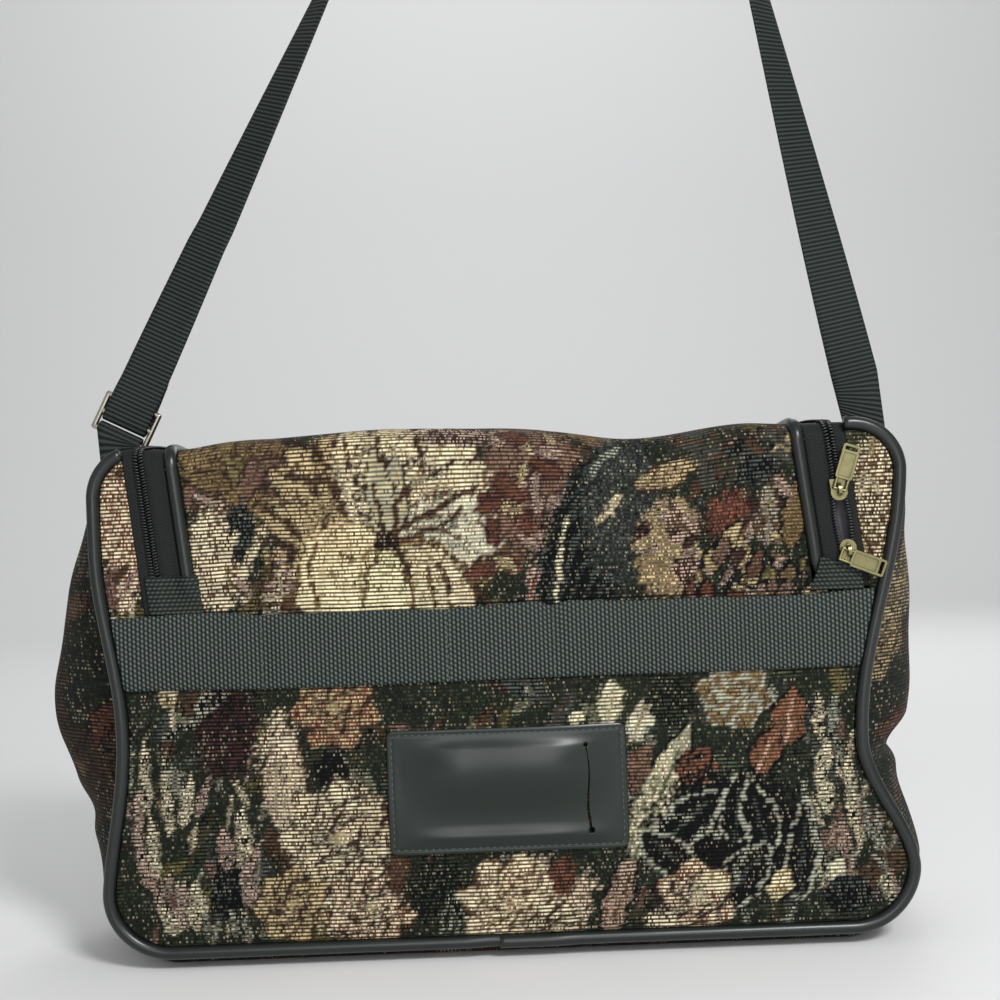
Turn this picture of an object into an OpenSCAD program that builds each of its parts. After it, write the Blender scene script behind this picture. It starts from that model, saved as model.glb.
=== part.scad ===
// Soft tapestry carpet bag with a zipped lid, welted edges and a webbing shoulder strap.
// Millimetres. The origin is the middle of the base, the front faces -Y and Z is up.
// The cloth follows three mappings: the piped outline, the front face, and the lid that
// wraps from the front face over the top edge to the back.

/* [Body] */
// Width of the front between the welts where it is widest
front_w = 404; // [370:2:440]
// Height of the welted front
front_h = 252; // [236:2:290]
// Depth from the front welt to the back welt
depth = 112; // [96:2:140]
// Radius of the two lower corners
low_corner_r = 32; // [24:1:40]
// Radius of the two upper corners
top_corner_r = 24; // [20:1:28]
// How far the base hangs below the middle of the welt
base_drop = 8.5; // [6:0.5:11]
// Thickness of the backed tapestry
cloth_t = 1.8; // [1.2:0.1:2.4]
// How far the front swells forward in the middle
front_swell = 7; // [0:0.5:12]
// How far the back swells in the middle
back_swell = 5; // [0:0.5:10]
// How far the lid is domed across its depth
lid_crown = 2.5; // [0:0.5:6]

/* [Slump] */
// How far the left welt is drawn in at its waist
waist_left = 10.5; // [0:0.5:18]
// Height of the left waist
waist_left_z = 117; // [90:1:130]
// How far the left waist reaches up and down
waist_left_reach = 95; // [60:1:100]
// How far the right welt is drawn in at its waist
waist_right = 24; // [0:0.5:28]
// Height of the right waist
waist_right_z = 103; // [90:1:120]
// How far the right waist reaches up
waist_right_rise = 140; // [100:1:145]
// How far the right waist reaches down
waist_right_fall = 68; // [50:1:80]
// How far the left end swells out at most
end_swell_left = 45; // [15:1:50]
// How far the right end swells out at most
end_swell_right = 32; // [12:1:40]
// How far both ends swell out near the top and the base
end_swell_least = 13; // [6:0.5:16]
// Height at which the ends swell most
end_swell_z = 133; // [110:1:150]
// How far the swelling reaches up and down
end_swell_reach = 112; // [90:1:130]
// Depth of the dip in the lid's top edge
lid_dip = 5.5; // [0:0.5:9]
// Place of the dip along the lid
lid_dip_x = 80; // [-80:1:90]
// Half the length of the dip
lid_dip_reach = 58; // [40:1:60]
// Radius of the lid's top edge beside the zip
lid_edge_r = 7; // [6:0.5:9]
// Radius of the lid's top edge in the middle
lid_mid_r = 15; // [9:0.5:20]

/* [Welt] */
// Thickness of the vinyl welt
welt_d = 6.6; // [5:0.2:7.4]
// Length of the overlap where the welt's ends meet under the front
splice_len = 26; // [16:1:40]
// How much thicker the welt is at that overlap
splice_swell = 1.22; // [1.05:0.01:1.3]

/* [Zip] */
// Distance of the zip's left leg from the widest part of the side, at the band
zip_left_low_in = 32; // [28:1:38]
// The same at the top edge
zip_left_top_in = 23; // [20:1:32]
// Distance of the zip's right leg from the widest part of the side, at the band
zip_right_low_in = 25.5; // [24:0.5:32]
// The same at the top edge
zip_right_top_in = 35.5; // [28:0.5:40]
// Radius of the zip's two back corners
zip_corner_r = 32; // [26:1:40]
// Width of cloth left between the zip and the back welt
rim_w = 12; // [9:0.5:16]
// Visible tape on the body side, from the middle of the chain
tape_body_w = 8; // [6:0.5:9]
// Visible tape on the lid side, from the middle of the chain
tape_lid_w = 12.5; // [10:0.5:14]
// Thickness of the tape
tape_t = 0.7; // [0.5:0.1:0.9]
// Width of one coil
coil_w = 2.8; // [2.4:0.1:3]
// Height of the coil
coil_h = 1.75; // [1.4:0.05:1.9]
// Half the opening of the chain between the sliders
chain_open = 1.8; // [1.7:0.1:2.2]
// Lower slider's middle, up the leg from the band
lower_slider_s = 19.5; // [19:0.5:22]
// Upper slider's middle, up the leg from the band
upper_slider_s = 50; // [46:0.5:54]
// Length of a pull's tag
tag_len = 17.5; // [12:0.5:20]
// Width of a pull's tag
tag_w = 8.6; // [8:0.2:10]
// Lean of the upper pull away from the chain
upper_pull_lean = 25; // [0:1:28]
// Droop of the lower pull below square to the chain
lower_pull_droop = 29; // [0:1:30]
// Height of the left tab
left_tab_h = 19.5; // [14:0.5:24]
// Height of the right tab at its inner edge
right_tab_in_h = 17; // [12:0.5:20]
// Height of the right tab at its outer edge
right_tab_out_h = 10.5; // [8:0.5:12]

/* [Band and card holder] */
// Width of the webbing band
band_w = 38; // [30:1:44]
// Height of the band's top edge
band_top_z = 177.5; // [170:0.5:182]
// Thickness of the webbing band
band_t = 1.6; // [1.2:0.1:2]
// Height of the waves in the band's top edge
band_wave = 1.4; // [0:0.1:1.8]
// Width of the card holder
holder_w = 119; // [90:1:130]
// Height of the card holder
holder_h = 62; // [50:1:66]
// Height of the card holder's middle
holder_z = 85; // [78:0.5:92]
// Thickness of the card holder
holder_t = 1.5; // [1.2:0.1:2]
// Place of the slit from the card holder's middle
slit_x = 40; // [20:1:46]
// Length of the slit between its punched holes
slit_len = 43; // [30:1:44]
// Width of the slit
slit_w = 1.1; // [0.8:0.1:1.6]
// Diameter of the punched holes
slit_hole_d = 3; // [2.2:0.1:3.4]

/* [Strap] */
// Width of the shoulder strap
strap_w = 25; // [20:1:28]
// Thickness of the shoulder strap
strap_t = 1.6; // [1.2:0.1:1.8]
// Sideways place of the point where the strap's two runs would meet
peak_x = 80.5; // [-40:0.5:90]
// Height of that point
peak_z = 826.5; // [600:0.5:900]
// Radius of the strap's turn at the top
peak_r = 14; // [12:0.5:20]
// Share of the left run over which the strap turns edge-on
twist_left = 0.8; // [0.5:0.05:0.9]
// Share of the right run over which the strap turns edge-on
twist_right = 0.88; // [0.5:0.05:0.9]
// Length of the strap's tail behind the left run
tail_len = 78; // [50:1:110]
// Thickness of the slide's bars
bar_d = 3; // [2.4:0.1:3.4]
// Distance between the slide's bars
bar_pitch = 9.5; // [9:0.5:12]
// Distance from the left corner to the slide's lowest bar
anchor_len = 7.5; // [7:0.5:12]

/* [View] */
// Sub-part to draw

/* [Hidden] */

// Clear space between neighbouring pieces
gap = 0.3;
welt_r = welt_d / 2;
half_w = front_w / 2;
front_face = -depth / 2;
base_z = base_drop;
top_z = base_drop + front_h;
// Cloth stops this far from the middle of a welt
seam = welt_r + gap;
// The front is flat within this distance of the sides, where the zip runs
flat_in = 52;
flat_x = half_w - flat_in;
// How much of the front's waist the back keeps
back_waist = 0.45;
// Share of the depth over which the base falls away from each welt
base_ramp = 0.08;

// Points round each welted corner and up each side, front and back, and half along the back's top
welt_turn = 6;
welt_rise = 9;
back_turn = 5;
back_rise = 7;
back_top = 5;

// Lengths along the lid, counted up the front from the band's top edge
lid_front = top_z - band_top_z;
lid_bend = lid_front - lid_edge_r;
lid_turned = lid_bend + lid_edge_r * PI / 2;
lid_full = lid_turned + depth - lid_edge_r;
zip_back_s = lid_full - rim_w - tape_body_w - seam;
zip_start_s = 5;
zip_left_low_x = zip_left_low_in - half_w;
zip_left_top_x = zip_left_top_in - half_w;
zip_right_low_x = half_w - zip_right_low_in;
zip_right_top_x = half_w - zip_right_top_in;
welt_off = tape_lid_w + gap + welt_r;
lid_off = tape_lid_w + 2 * gap + welt_d;
left_lean = atan2(zip_left_low_x - zip_left_top_x, lid_front);
right_lean = atan2(zip_right_low_x - zip_right_top_x, lid_front);
// The tabs reach this far over the lid and over the body from the chain
tab_in = lid_off + 1.7;
tab_out = 5;
// Coil and lid welt end above the tabs
coil_left_s = left_tab_h + gap + coil_w * sin(left_lean);
coil_right_s = mix(right_tab_out_h, right_tab_in_h, (tab_out + coil_w) / (tab_in + tab_out)) + gap;
welt_left_s = left_tab_h + gap - (welt_off - welt_r) * sin(left_lean);
welt_right_s = right_tab_in_h + gap + (welt_off + welt_r) * sin(right_lean);

// Sliders
slider_w = 8.4;
slider_len = 11;
plate_t = 0.9;
plate_low = coil_h + gap;
plate_top = plate_low + plate_t;
bail_r = 3.1;
bail_hole_r = 2;
bail_z = plate_top + 1.2;
bail_w = 1.6;
hinge_n = bail_z + 0.95;
wire_d = 1.4;
tag_t = 1.4;
eye_w = 7.2;
eye_len = 5.4;
// The tag overlaps the eye's arms by this much
eye_lap = 0.6;
// The lower pull's eye stands this far behind its bail
eye_back = 3.2;

// The strap's two runs start over the upper corners, at this angle and these heights
foot_a = 40;
left_foot_lift = 9.5;
right_foot_lift = 3;
left_foot = corner_at(-1, foot_a, left_foot_lift);
right_foot = corner_at(1, foot_a, right_foot_lift);
// Webbing ends follow the corner's slope between these angles, this far above the cloth
foot_near_a = 18;
foot_far_a = 62;
foot_lift = 1.7;
left_dir = unit([peak_x, peak_z] - left_foot);
right_dir = unit([peak_x, peak_z] - right_foot);
lay = bar_d / 2 + gap + strap_t / 2;
// The strap keeps flat for this long before it starts to turn
flat_run = 32;
// Lengths over which the strap's layers come together past the slide, and past the tail's end
closing = 14;
// The layers leave a bar at this distance
bar_clear = 3;
// The right run is flat above this distance from its foot
right_flat = 30;

function unit(v) = v / norm(v);
function mix(a, b, t) = a + (b - a) * t;
function share(t) = max(0, min(1, t));
function bump(t) = abs(t) >= 1 ? 0 : pow(cos(90 * t), 2);
function steps(a, b, n) = [for (i = [0:n]) a + (b - a) * i / n];
function arch(w) = 4 * w * (1 - w);
function plateau(w) = share(min(w, 1 - w) / base_ramp);

// The piped outline

function waist(side, z) =
    side < 0
    ? waist_left * bump((z - waist_left_z) / waist_left_reach)
    : waist_right * bump((z - waist_right_z) / (z > waist_right_z ? waist_right_rise : waist_right_fall));

// Slope of the waisted edge
function waist_slope(side, z) = waist(side, z + 0.5) - waist(side, z - 0.5);

// Half-outline at height z, drawn in by e all round, keeping a share of the waist
function edge_x(side, z, e = 0, keep = 1) =
    let (
        square_in = e * norm([1, keep * waist_slope(side, z)]),
        low = low_corner_r - e,
        top = top_corner_r - e,
        under = share((base_z + low_corner_r - z) / low),
        over = share((z - top_z + top_corner_r) / top),
        corner = low * (1 - sqrt(1 - under * under)) + top * (1 - sqrt(1 - over * over))
    )
    side * (half_w - square_in - keep * waist(side, z) - corner);

// Heights of the rows that follow the rounded corners closely
function corner_rows(e, n, m) =
    let (low = low_corner_r - e, top = top_corner_r - e)
    concat(
        [for (i = [0:n]) base_z + e + low * (1 - cos(90 * i / n))],
        [for (i = [1:m - 1]) mix(base_z + low_corner_r, top_z - top_corner_r, i / m)],
        [for (i = [0:n]) top_z - top_corner_r + top * sin(90 * i / n)]
    );

// Outline from a start angle on the upper left corner round the base to the upper right corner
left_stop_x = zip_left_top_x - tape_body_w - gap;
right_stop_x = zip_right_top_x + tape_body_w + gap;
left_stop_a = acos((left_stop_x + half_w - top_corner_r) / top_corner_r);
function outline(keep, n, m, start_a) =
    let (low_z = base_z + low_corner_r, high_z = top_z - top_corner_r)
    concat(
        [for (a = steps(start_a, 180, n))
            [-half_w + top_corner_r * (1 + cos(a)), high_z + top_corner_r * sin(a)]],
        [for (i = [1:m - 1]) let (z = mix(high_z, low_z, i / m)) [edge_x(-1, z, 0, keep), z]],
        [for (a = steps(180, 270, n))
            [-half_w + low_corner_r * (1 + cos(a)) + keep * waist(-1, low_z + low_corner_r * sin(a)),
             low_z + low_corner_r * sin(a)]],
        [for (a = steps(270, 360, n))
            [half_w - low_corner_r * (1 - cos(a)) - keep * waist(1, low_z + low_corner_r * sin(a)),
             low_z + low_corner_r * sin(a)]],
        [for (i = [1:m - 1]) let (z = mix(low_z, high_z, i / m)) [edge_x(1, z, 0, keep), z]],
        [for (a = steps(0, 90, n))
            [half_w - top_corner_r * (1 - cos(a)), high_z + top_corner_r * sin(a)]]
    );
// The front's outline, stopping at the zip on both sides
function zip_to_zip(keep, n, m) = concat(outline(keep, n, m, left_stop_a), [[right_stop_x, top_z]]);

// Outward direction of an open path at point i
function outward(path, i) =
    let (
        ahead = path[min(i + 1, len(path) - 1)],
        behind = path[max(i - 1, 0)],
        t = unit(ahead - behind)
    )
    [t[1], -t[0]];

// How far the gusset stands outside the outline at share w of the depth: the ends swell
// sideways, the base drops and the top is domed
function end_swell(x, z) =
    let (most = x < 0 ? end_swell_left : end_swell_right)
    end_swell_least + (most - end_swell_least) * bump((z - end_swell_z) / end_swell_reach);
function gusset_out(p, n, w) =
    [arch(w) * end_swell(p[0], p[1]) * n[0] * abs(n[0]),
     lid_crown * arch(w) * pow(max(0, n[1]), 2) - base_drop * plateau(w) * pow(max(0, -n[1]), 2)];
// Point on the upper corner halfway through the depth, at an angle from upright, raised by lift
function corner_at(side, a, lift) =
    let (
        n = [side * sin(a), cos(a)],
        p = [side * (half_w - top_corner_r), top_z - top_corner_r] + top_corner_r * n
    )
    p + gusset_out(p, n, 0.5) + lift * n;

// The front face

function front_out(x, z) =
    front_swell * pow(max(0, 1 - pow(x / flat_x, 2)), 1.5) * arch(share((z - base_z) / front_h));
function on_front(x, z, n) = [x, front_face - front_out(x, z) - n, z];

// The lid, from u across and s up from the band, at n outside the cloth

function lid_r(u) = lid_edge_r + (lid_mid_r - lid_edge_r) * max(0, 1 - pow(u / flat_x, 2));
function lid_sag(u, f) = lid_dip * bump((u - lid_dip_x) / lid_dip_reach) * f;
function on_lid(u, s, n) =
    let (
        r = lid_r(u),
        bend = lid_front - r,
        turned = bend + r * PI / 2,
        q = s * (turned + depth - r) / lid_full,
        a = 90 * share((q - bend) / (r * PI / 2)),
        back = max(0, q - turned),
        y = front_face + r - (r + n) * cos(a) + back - front_out(u, band_top_z + bend) * (1 - a / 90),
        z = top_z - r + (r + n) * sin(a)
    )
    q < bend
    ? on_front(u, band_top_z + q, n) - [0, 0, lid_sag(u, q / lid_front)]
    : [u, y, z + lid_crown * arch(share((y - front_face) / depth)) * share(a / 90) - lid_sag(u, 1)];

// Middle of the chain as [u, s] points up the left leg, round the back and down the right leg
function leg_u(low, top, s) = mix(low, top, share(s / lid_front));
function zip_path(start, finish) =
    let (
        spot = 6,
        left = zip_left_top_x,
        right = zip_right_top_x,
        r = zip_corner_r,
        turn = steps(lid_bend, lid_turned, 3),
        mid_s = (lower_slider_s + upper_slider_s) / 2
    )
    concat(
        [for (s = concat([start], turn)) [leg_u(zip_left_low_x, left, s), s]],
        [for (a = steps(180, 90, 5)) [left + r + r * cos(a), zip_back_s - r + r * sin(a)]],
        [for (u = steps(left + r, right - r, 7)) if (u > left + r && u < right - r) [u, zip_back_s]],
        [for (a = steps(90, 0, 5)) [right - r + r * cos(a), zip_back_s - r + r * sin(a)]],
        [for (i = [3:-1:0]) [leg_u(zip_right_low_x, right, turn[i]), turn[i]]],
        [for (s = [upper_slider_s, upper_slider_s - chain_ramp, mid_s + spot, mid_s, mid_s - spot,
                   lower_slider_s + chain_ramp, lower_slider_s, finish])
            if (s >= finish) [leg_u(zip_right_low_x, right, s), s]]
    );
// Length over which the chain opens at each slider, and how much more it opens midway
chain_ramp = 3;
chain_lens = 0.5;
function chain_gap(p) =
    let (
        half = (upper_slider_s - lower_slider_s) / 2,
        off = abs(p[1] - (lower_slider_s + upper_slider_s) / 2)
    )
    p[0] < 0 || off >= half ? 0
    : chain_open * share((half - off) / chain_ramp) + chain_lens * bump(off / half);

// Rings along the chain, on the body's side (1) or the lid's (-1). A section point is
// [distance from the chain, share of the chain's parting that it follows, height n]
function chain_rings(path, side, section) =
    [for (i = [0:len(path) - 1])
        let (
            t = unit(path[min(i + 1, len(path) - 1)] - path[max(i - 1, 0)]),
            out = [-t[1], t[0]] * side
        )
        [for (c = section)
            let (p = path[i] + out * (c[0] + c[1] * chain_gap(path[i])))
            on_lid(p[0], p[1], c[2])]];

// Closed solids from point lists

function quad(a, b, c, d) = [[a, b, c], [a, c, d]];

// Skin through a row of rings with the same number of points, capped at both ends
module loft(rings, flip = false) {
    n = len(rings[0]);
    m = len(rings);
    sides = [for (i = [0:m - 2]) for (j = [0:n - 1])
        let (k = (j + 1) % n)
        each quad(i * n + j, i * n + k, (i + 1) * n + k, (i + 1) * n + j)];
    caps = concat(
        [for (j = [1:n - 2]) [0, j + 1, j]],
        [for (j = [1:n - 2]) let (b = (m - 1) * n) [b, b + j, b + j + 1]]
    );
    faces = concat(sides, caps);
    polyhedron([for (r = rings) each r], flip ? [for (f = faces) [f[2], f[1], f[0]]] : faces);
}

// Sheet between an outer and an inner grid of points, leaving out the cells marked 0
module sheet(outer, inner, keep, flip = false) {
    rows = len(outer);
    cols = len(outer[0]);
    in = rows * cols;
    function at(i, j) = i * cols + j;
    function on(i, j) = i < 0 || j < 0 || i > rows - 2 || j > cols - 2 ? false : keep[i][j] == 1;
    faces = [for (i = [0:rows - 2]) for (j = [0:cols - 2]) if (on(i, j))
        let (a = at(i, j), b = at(i + 1, j), c = at(i + 1, j + 1), d = at(i, j + 1))
        each concat(
            quad(a, b, c, d),
            quad(in + d, in + c, in + b, in + a),
            on(i, j - 1) ? [] : quad(b, a, in + a, in + b),
            on(i, j + 1) ? [] : quad(d, c, in + c, in + d),
            on(i - 1, j) ? [] : quad(a, d, in + d, in + a),
            on(i + 1, j) ? [] : quad(c, b, in + b, in + c)
        )];
    points = concat([for (r = outer) each r], [for (r = inner) each r]);
    polyhedron(points, flip ? [for (f = faces) [f[2], f[1], f[0]]] : faces);
}
function whole(grid) = [for (i = [1:len(grid) - 1]) [for (j = [1:len(grid[0]) - 1]) 1]];

// Tapestry

module front_panel() {
    // Rows level with the welt's points, up to where the left strip runs out
    least = 1;
    all_rows = corner_rows(seam, welt_turn, welt_rise);
    strip_top = top_z - top_corner_r + (top_corner_r - seam) * sin(61);
    rows = concat(
        [for (z = all_rows) if (z < band_top_z - least) z],
        [band_top_z],
        [for (z = all_rows) if (z > band_top_z + least && z < strip_top) z]
    );
    strip = 2;
    middle = 10;
    left_w = zip_left_low_x - tape_body_w - gap - edge_x(-1, band_top_z, seam);
    right_w = edge_x(1, band_top_z, seam) - zip_right_low_x - tape_body_w - gap;
    function inner_x(side, z) =
        z < band_top_z
        ? edge_x(side, z, seam) - side * (side < 0 ? left_w : right_w)
        : leg_u(side < 0 ? zip_left_low_x : zip_right_low_x, side < 0 ? zip_left_top_x : zip_right_top_x,
                z - band_top_z) + side * (tape_body_w + gap);
    function outer_x(side, z) =
        let (x = edge_x(side, z, seam), limit = inner_x(side, z) + side * 0.6)
        side < 0 ? min(x, limit) : max(x, limit);
    function row_x(z) = concat(
        steps(outer_x(-1, z), inner_x(-1, z), strip),
        [for (i = [1:middle - 1]) mix(inner_x(-1, z), inner_x(1, z), i / middle)],
        steps(inner_x(1, z), outer_x(1, z), strip)
    );
    outer = [for (z = rows) [for (x = row_x(z)) on_front(x, z, 0)]];
    inner = [for (z = rows) [for (x = row_x(z)) on_front(x, z, -cloth_t)]];
    cols = len(outer[0]) - 1;
    keep = [for (i = [0:len(rows) - 2]) [for (j = [0:cols - 1])
        rows[i] < band_top_z || j < strip || j >= cols - strip ? 1 : 0]];
    color("DarkOliveGreen") sheet(outer, inner, keep);
}

module back_panel() {
    rows = corner_rows(seam, back_turn, back_rise);
    cols = 2 * back_top;
    function back_at(z, t, n) =
        let (
            x = mix(edge_x(-1, z, seam, back_waist), edge_x(1, z, seam, back_waist), t),
            swell = back_swell * arch(t) * arch(share((z - base_z) / front_h))
        )
        [x, -front_face + swell + n, z - lid_sag(x, share((z - band_top_z) / lid_front))];
    outer = [for (z = rows) [for (t = steps(0, 1, cols)) back_at(z, t, 0)]];
    inner = [for (z = rows) [for (t = steps(0, 1, cols)) back_at(z, t, -cloth_t)]];
    color("DarkOliveGreen") sheet(outer, inner, whole(outer), true);
}

module gusset() {
    front = zip_to_zip(1, welt_turn, welt_rise);
    back = zip_to_zip(back_waist, welt_turn, welt_rise);
    across = [0, base_ramp, 0.22, 0.4, 0.6, 0.78, 1 - base_ramp, 1];
    function at(i, w, n) =
        let (
            p = mix(front[i], back[i], w),
            out = outward(front, i),
            q = p + gusset_out(p, out, w) + out * n
        )
        [q[0], mix(front_face + seam, -front_face - seam, w), q[1]];
    outer = [for (i = [0:len(front) - 1]) [for (w = across) at(i, w, 0)]];
    inner = [for (i = [0:len(front) - 1]) [for (w = across) at(i, w, -cloth_t)]];
    color("DarkSlateGray") sheet(outer, inner, whole(outer), true);
}

// Left and right edges of the lid at s, rounded at the back like the zip
function lid_edge(side, s, off) =
    let (
        r = zip_corner_r - off,
        over = share((s - zip_back_s + zip_corner_r) / r),
        leg = side < 0 ? leg_u(zip_left_low_x, zip_left_top_x, s) : leg_u(zip_right_low_x, zip_right_top_x, s)
    )
    leg - side * (off + r * (1 - sqrt(1 - over * over)));

module top_flap() {
    r = zip_corner_r - lid_off;
    rows = concat(
        steps(gap, lid_bend - lid_mid_r, 3),
        steps(lid_bend - lid_mid_r / 2, lid_turned + lid_mid_r / 2, 5),
        steps(lid_turned + lid_mid_r, zip_back_s - zip_corner_r, 3),
        [for (i = [1:5]) zip_back_s - zip_corner_r + r * sin(18 * i)]
    );
    across = steps(0, 1, 14);
    outer = [for (s = rows) [for (t = across)
        on_lid(mix(lid_edge(-1, s, lid_off), lid_edge(1, s, lid_off), t), s, 0)]];
    inner = [for (s = rows) [for (t = across)
        on_lid(mix(lid_edge(-1, s, lid_off), lid_edge(1, s, lid_off), t), s, -cloth_t)]];
    color("DarkOliveGreen") sheet(outer, inner, whole(outer));
}

// Strip behind the zip, widening into the two back corners
module top_rim() {
    r = zip_corner_r + tape_body_w + gap;
    left = zip_left_top_x - tape_body_w - gap;
    right = zip_right_top_x + tape_body_w + gap;
    corner = [for (i = [0:5]) r * (1 - cos(18 * i))];
    path = concat(
        [for (c = corner) left + c],
        [for (i = [1:7]) mix(left + r, right - r, i / 8)],
        [for (i = [5:-1:0]) right - corner[i]]
    );
    function near_s(u) =
        let (over = share(max(left + r - u, u - right + r) / r))
        zip_back_s - zip_corner_r + r * sqrt(1 - over * over);
    function at(u, t, n) = on_lid(u, mix(near_s(u), lid_full - seam, t), n);
    outer = [for (t = [0, 1]) [for (u = path) at(u, t, 0)]];
    inner = [for (t = [0, 1]) [for (u = path) at(u, t, -cloth_t)]];
    color("DarkSlateGray") sheet(outer, inner, whole(outer));
}

module base_board() {
    board_t = 2;
    long = front_w - 2 * low_corner_r - 8;
    deep = (1 - 2 * base_ramp) * (depth - 2 * seam) - 4;
    r = 8;
    color("Peru") translate([0, 0, cloth_t + gap]) linear_extrude(board_t) union() {
        square([long - 2 * r, deep], center = true);
        square([long, deep - 2 * r], center = true);
        for (x = [-1, 1], y = [-1, 1])
            translate([x * (long / 2 - r), y * (deep / 2 - r)]) circle(r, $fn = 32);
    }
}

// Welt

module outline_welt(path, y, sides, swollen) {
    rings = [for (i = [0:len(path) - 1])
        let (
            out = outward(path, i),
            near = swollen && path[i][1] < base_z + 1 && abs(path[i][0] - splice_x) < splice_len / 2,
            r = welt_r * (near ? splice_swell : 1)
        )
        [for (j = [0:sides - 1])
            let (a = 360 * j / sides, q = path[i] + out * welt_r * cos(a))
            [q[0], y + r * sin(a), q[1]]]];
    color("DarkSlateGray") loft(rings);
}
// The overlap lies just right of the middle
splice_x = 6;
// Outline with extra points at the ends of the overlap
function spliced(path) =
    let (half = splice_len / 2)
    [for (i = [0:len(path) - 1]) each
        path[i][1] == path[max(i - 1, 0)][1] && path[i][1] < base_z + 0.01
        ? concat([for (d = [-half - 4, -half + 0.5, half - 0.5, half + 4]) [splice_x + d, base_z]], [path[i]])
        : [path[i]]];

module front_piping() {
    outline_welt(spliced(zip_to_zip(1, welt_turn, welt_rise)), front_face, 8, true);
}

module back_piping() {
    // The two ends meet in the middle of the top
    long = half_w - top_corner_r;
    function top_run(from, to) =
        [for (x = steps(from, to, back_top)) if (x > -long && x < long) [x, top_z - lid_sag(x, 1)]];
    path = concat(top_run(-gap, -long), outline(back_waist, back_turn, back_rise, 90), top_run(long, gap));
    outline_welt(path, -front_face, 6, false);
}

module flap_piping() {
    ring = [for (j = [0:7]) [welt_off + welt_r * cos(45 * j), 0, welt_r * sin(45 * j)]];
    color("DarkSlateGray") loft(chain_rings(zip_path(welt_left_s, welt_right_s), -1, ring), true);
}

// Zip

module tape(side, wide) {
    // The tape stops short of the middle, under the coil
    near = coil_w / 2;
    section = [[near, 1, 0], [wide, 0, 0], [wide, 0, -tape_t], [near, 1, -tape_t]];
    color("DimGray") loft(chain_rings(zip_path(zip_start_s, zip_start_s), side, section), side < 0);
}
module zip_tape_body() {
    tape(1, tape_body_w);
}
module zip_tape_flap() {
    tape(-1, tape_lid_w);
}

module coil(side) {
    // Slack between the two coils and above the tape
    slack = 0.06;
    lip = 0.5;
    section = [
        [slack, 1, slack + lip], [slack + lip, 1, slack], [coil_w - lip, 1, slack],
        [coil_w, 1, coil_h / 2], [coil_w - lip, 1, coil_h], [slack, 1, coil_h]
    ];
    color("Black") loft(chain_rings(zip_path(coil_left_s, coil_right_s), side, section), side > 0);
}
module zip_coil_body() {
    coil(1);
}
module zip_coil_flap() {
    coil(-1);
}

// Frame on the right leg at s: X across to the right, Y up the chain, Z outward
module on_leg(s) {
    translate([leg_u(zip_right_low_x, zip_right_top_x, s), front_face, band_top_z + s])
        rotate([90, 0, 0]) rotate(right_lean) children();
}

// Slider with its wide nose towards +Y
module slider() {
    nose_y = 1.3;
    flange_t = 0.8;
    post_r = 1;
    post_y = nose_y + 2.4;
    module plate() {
        translate([0, nose_y]) circle(d = slider_w, $fn = 48);
        translate([-slider_w / 2 + 0.2, -slider_len / 2]) square([slider_w - 0.4, slider_len / 2 + nose_y]);
    }
    color("DarkKhaki") {
        translate([0, 0, plate_low]) linear_extrude(plate_t) plate();
        translate([0, 0, -tape_t - gap - plate_t]) linear_extrude(plate_t) plate();
        translate([0, post_y, -tape_t - gap - plate_t / 2])
            cylinder(plate_top + tape_t + gap, r = post_r, $fn = 32);
        for (x = [-1, 1])
            translate([x * (coil_w + gap + flange_t / 2), -slider_len / 4, (gap + plate_top) / 2])
                cube([flange_t, slider_len / 2, plate_top - gap], center = true);
        translate([-bail_w / 2, 0, 0]) rotate([90, 0, 90]) linear_extrude(bail_w) difference() {
            union() {
                translate([0, bail_z]) circle(bail_r, $fn = 48);
                translate([-bail_r, plate_low]) square([2 * bail_r, bail_z - plate_low]);
            }
            translate([0, bail_z]) circle(bail_hole_r, $fn = 48);
            translate([-bail_hole_r, plate_top]) square([2 * bail_hole_r, bail_z - plate_top]);
            translate([-bail_r, plate_low - bail_r]) square([2 * bail_r, bail_r]);
        }
    }
}

// Flat tag from y = 0 upward: raised rim, recessed face and a slot near its free end
module tag() {
    corner = 1.2;
    rim = 1.1;
    sunk = 0.35;
    slot_len = 2;
    module face(w, l, r) {
        translate([-w / 2 + r, 0]) square([w - 2 * r, l]);
        translate([-w / 2, r]) square([w, l - 2 * r]);
        for (x = [-1, 1], y = [r, l - r])
            translate([x * (w / 2 - r), y]) circle(r, $fn = 32);
    }
    difference() {
        translate([0, 0, -tag_t / 2]) linear_extrude(tag_t) face(tag_w, tag_len, corner);
        for (z = [tag_t / 2 - sunk, -tag_t / 2 - sunk])
            translate([0, rim, z]) linear_extrude(2 * sunk)
                face(tag_w - 2 * rim, tag_len - 3 * rim - slot_len, corner / 2);
        translate([0, tag_len - rim - slot_len, -tag_t]) linear_extrude(2 * tag_t)
            face(tag_w - 2 * rim, slot_len, corner / 2);
    }
}

// Wire eye with its bar on the X axis and its free end at y = eye_len
module eye() {
    arm = eye_w / 2 - wire_d / 2;
    rotate([0, 90, 0]) cylinder(2 * arm, d = wire_d, center = true, $fn = 32);
    for (x = [-arm, arm]) translate([x, 0, 0]) {
        sphere(d = wire_d, $fn = 32);
        rotate([-90, 0, 0]) cylinder(eye_len + eye_lap, d = wire_d, $fn = 32);
    }
}

module upper_slider() {
    on_leg(upper_slider_s) rotate(180) slider();
}
module upper_pull() {
    color("DarkKhaki") on_leg(upper_slider_s) translate([0, 0, hinge_n]) rotate(-upper_pull_lean) {
        eye();
        translate([0, eye_len, 0]) tag();
    }
}
module lower_slider() {
    on_leg(lower_slider_s) slider();
}
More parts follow.
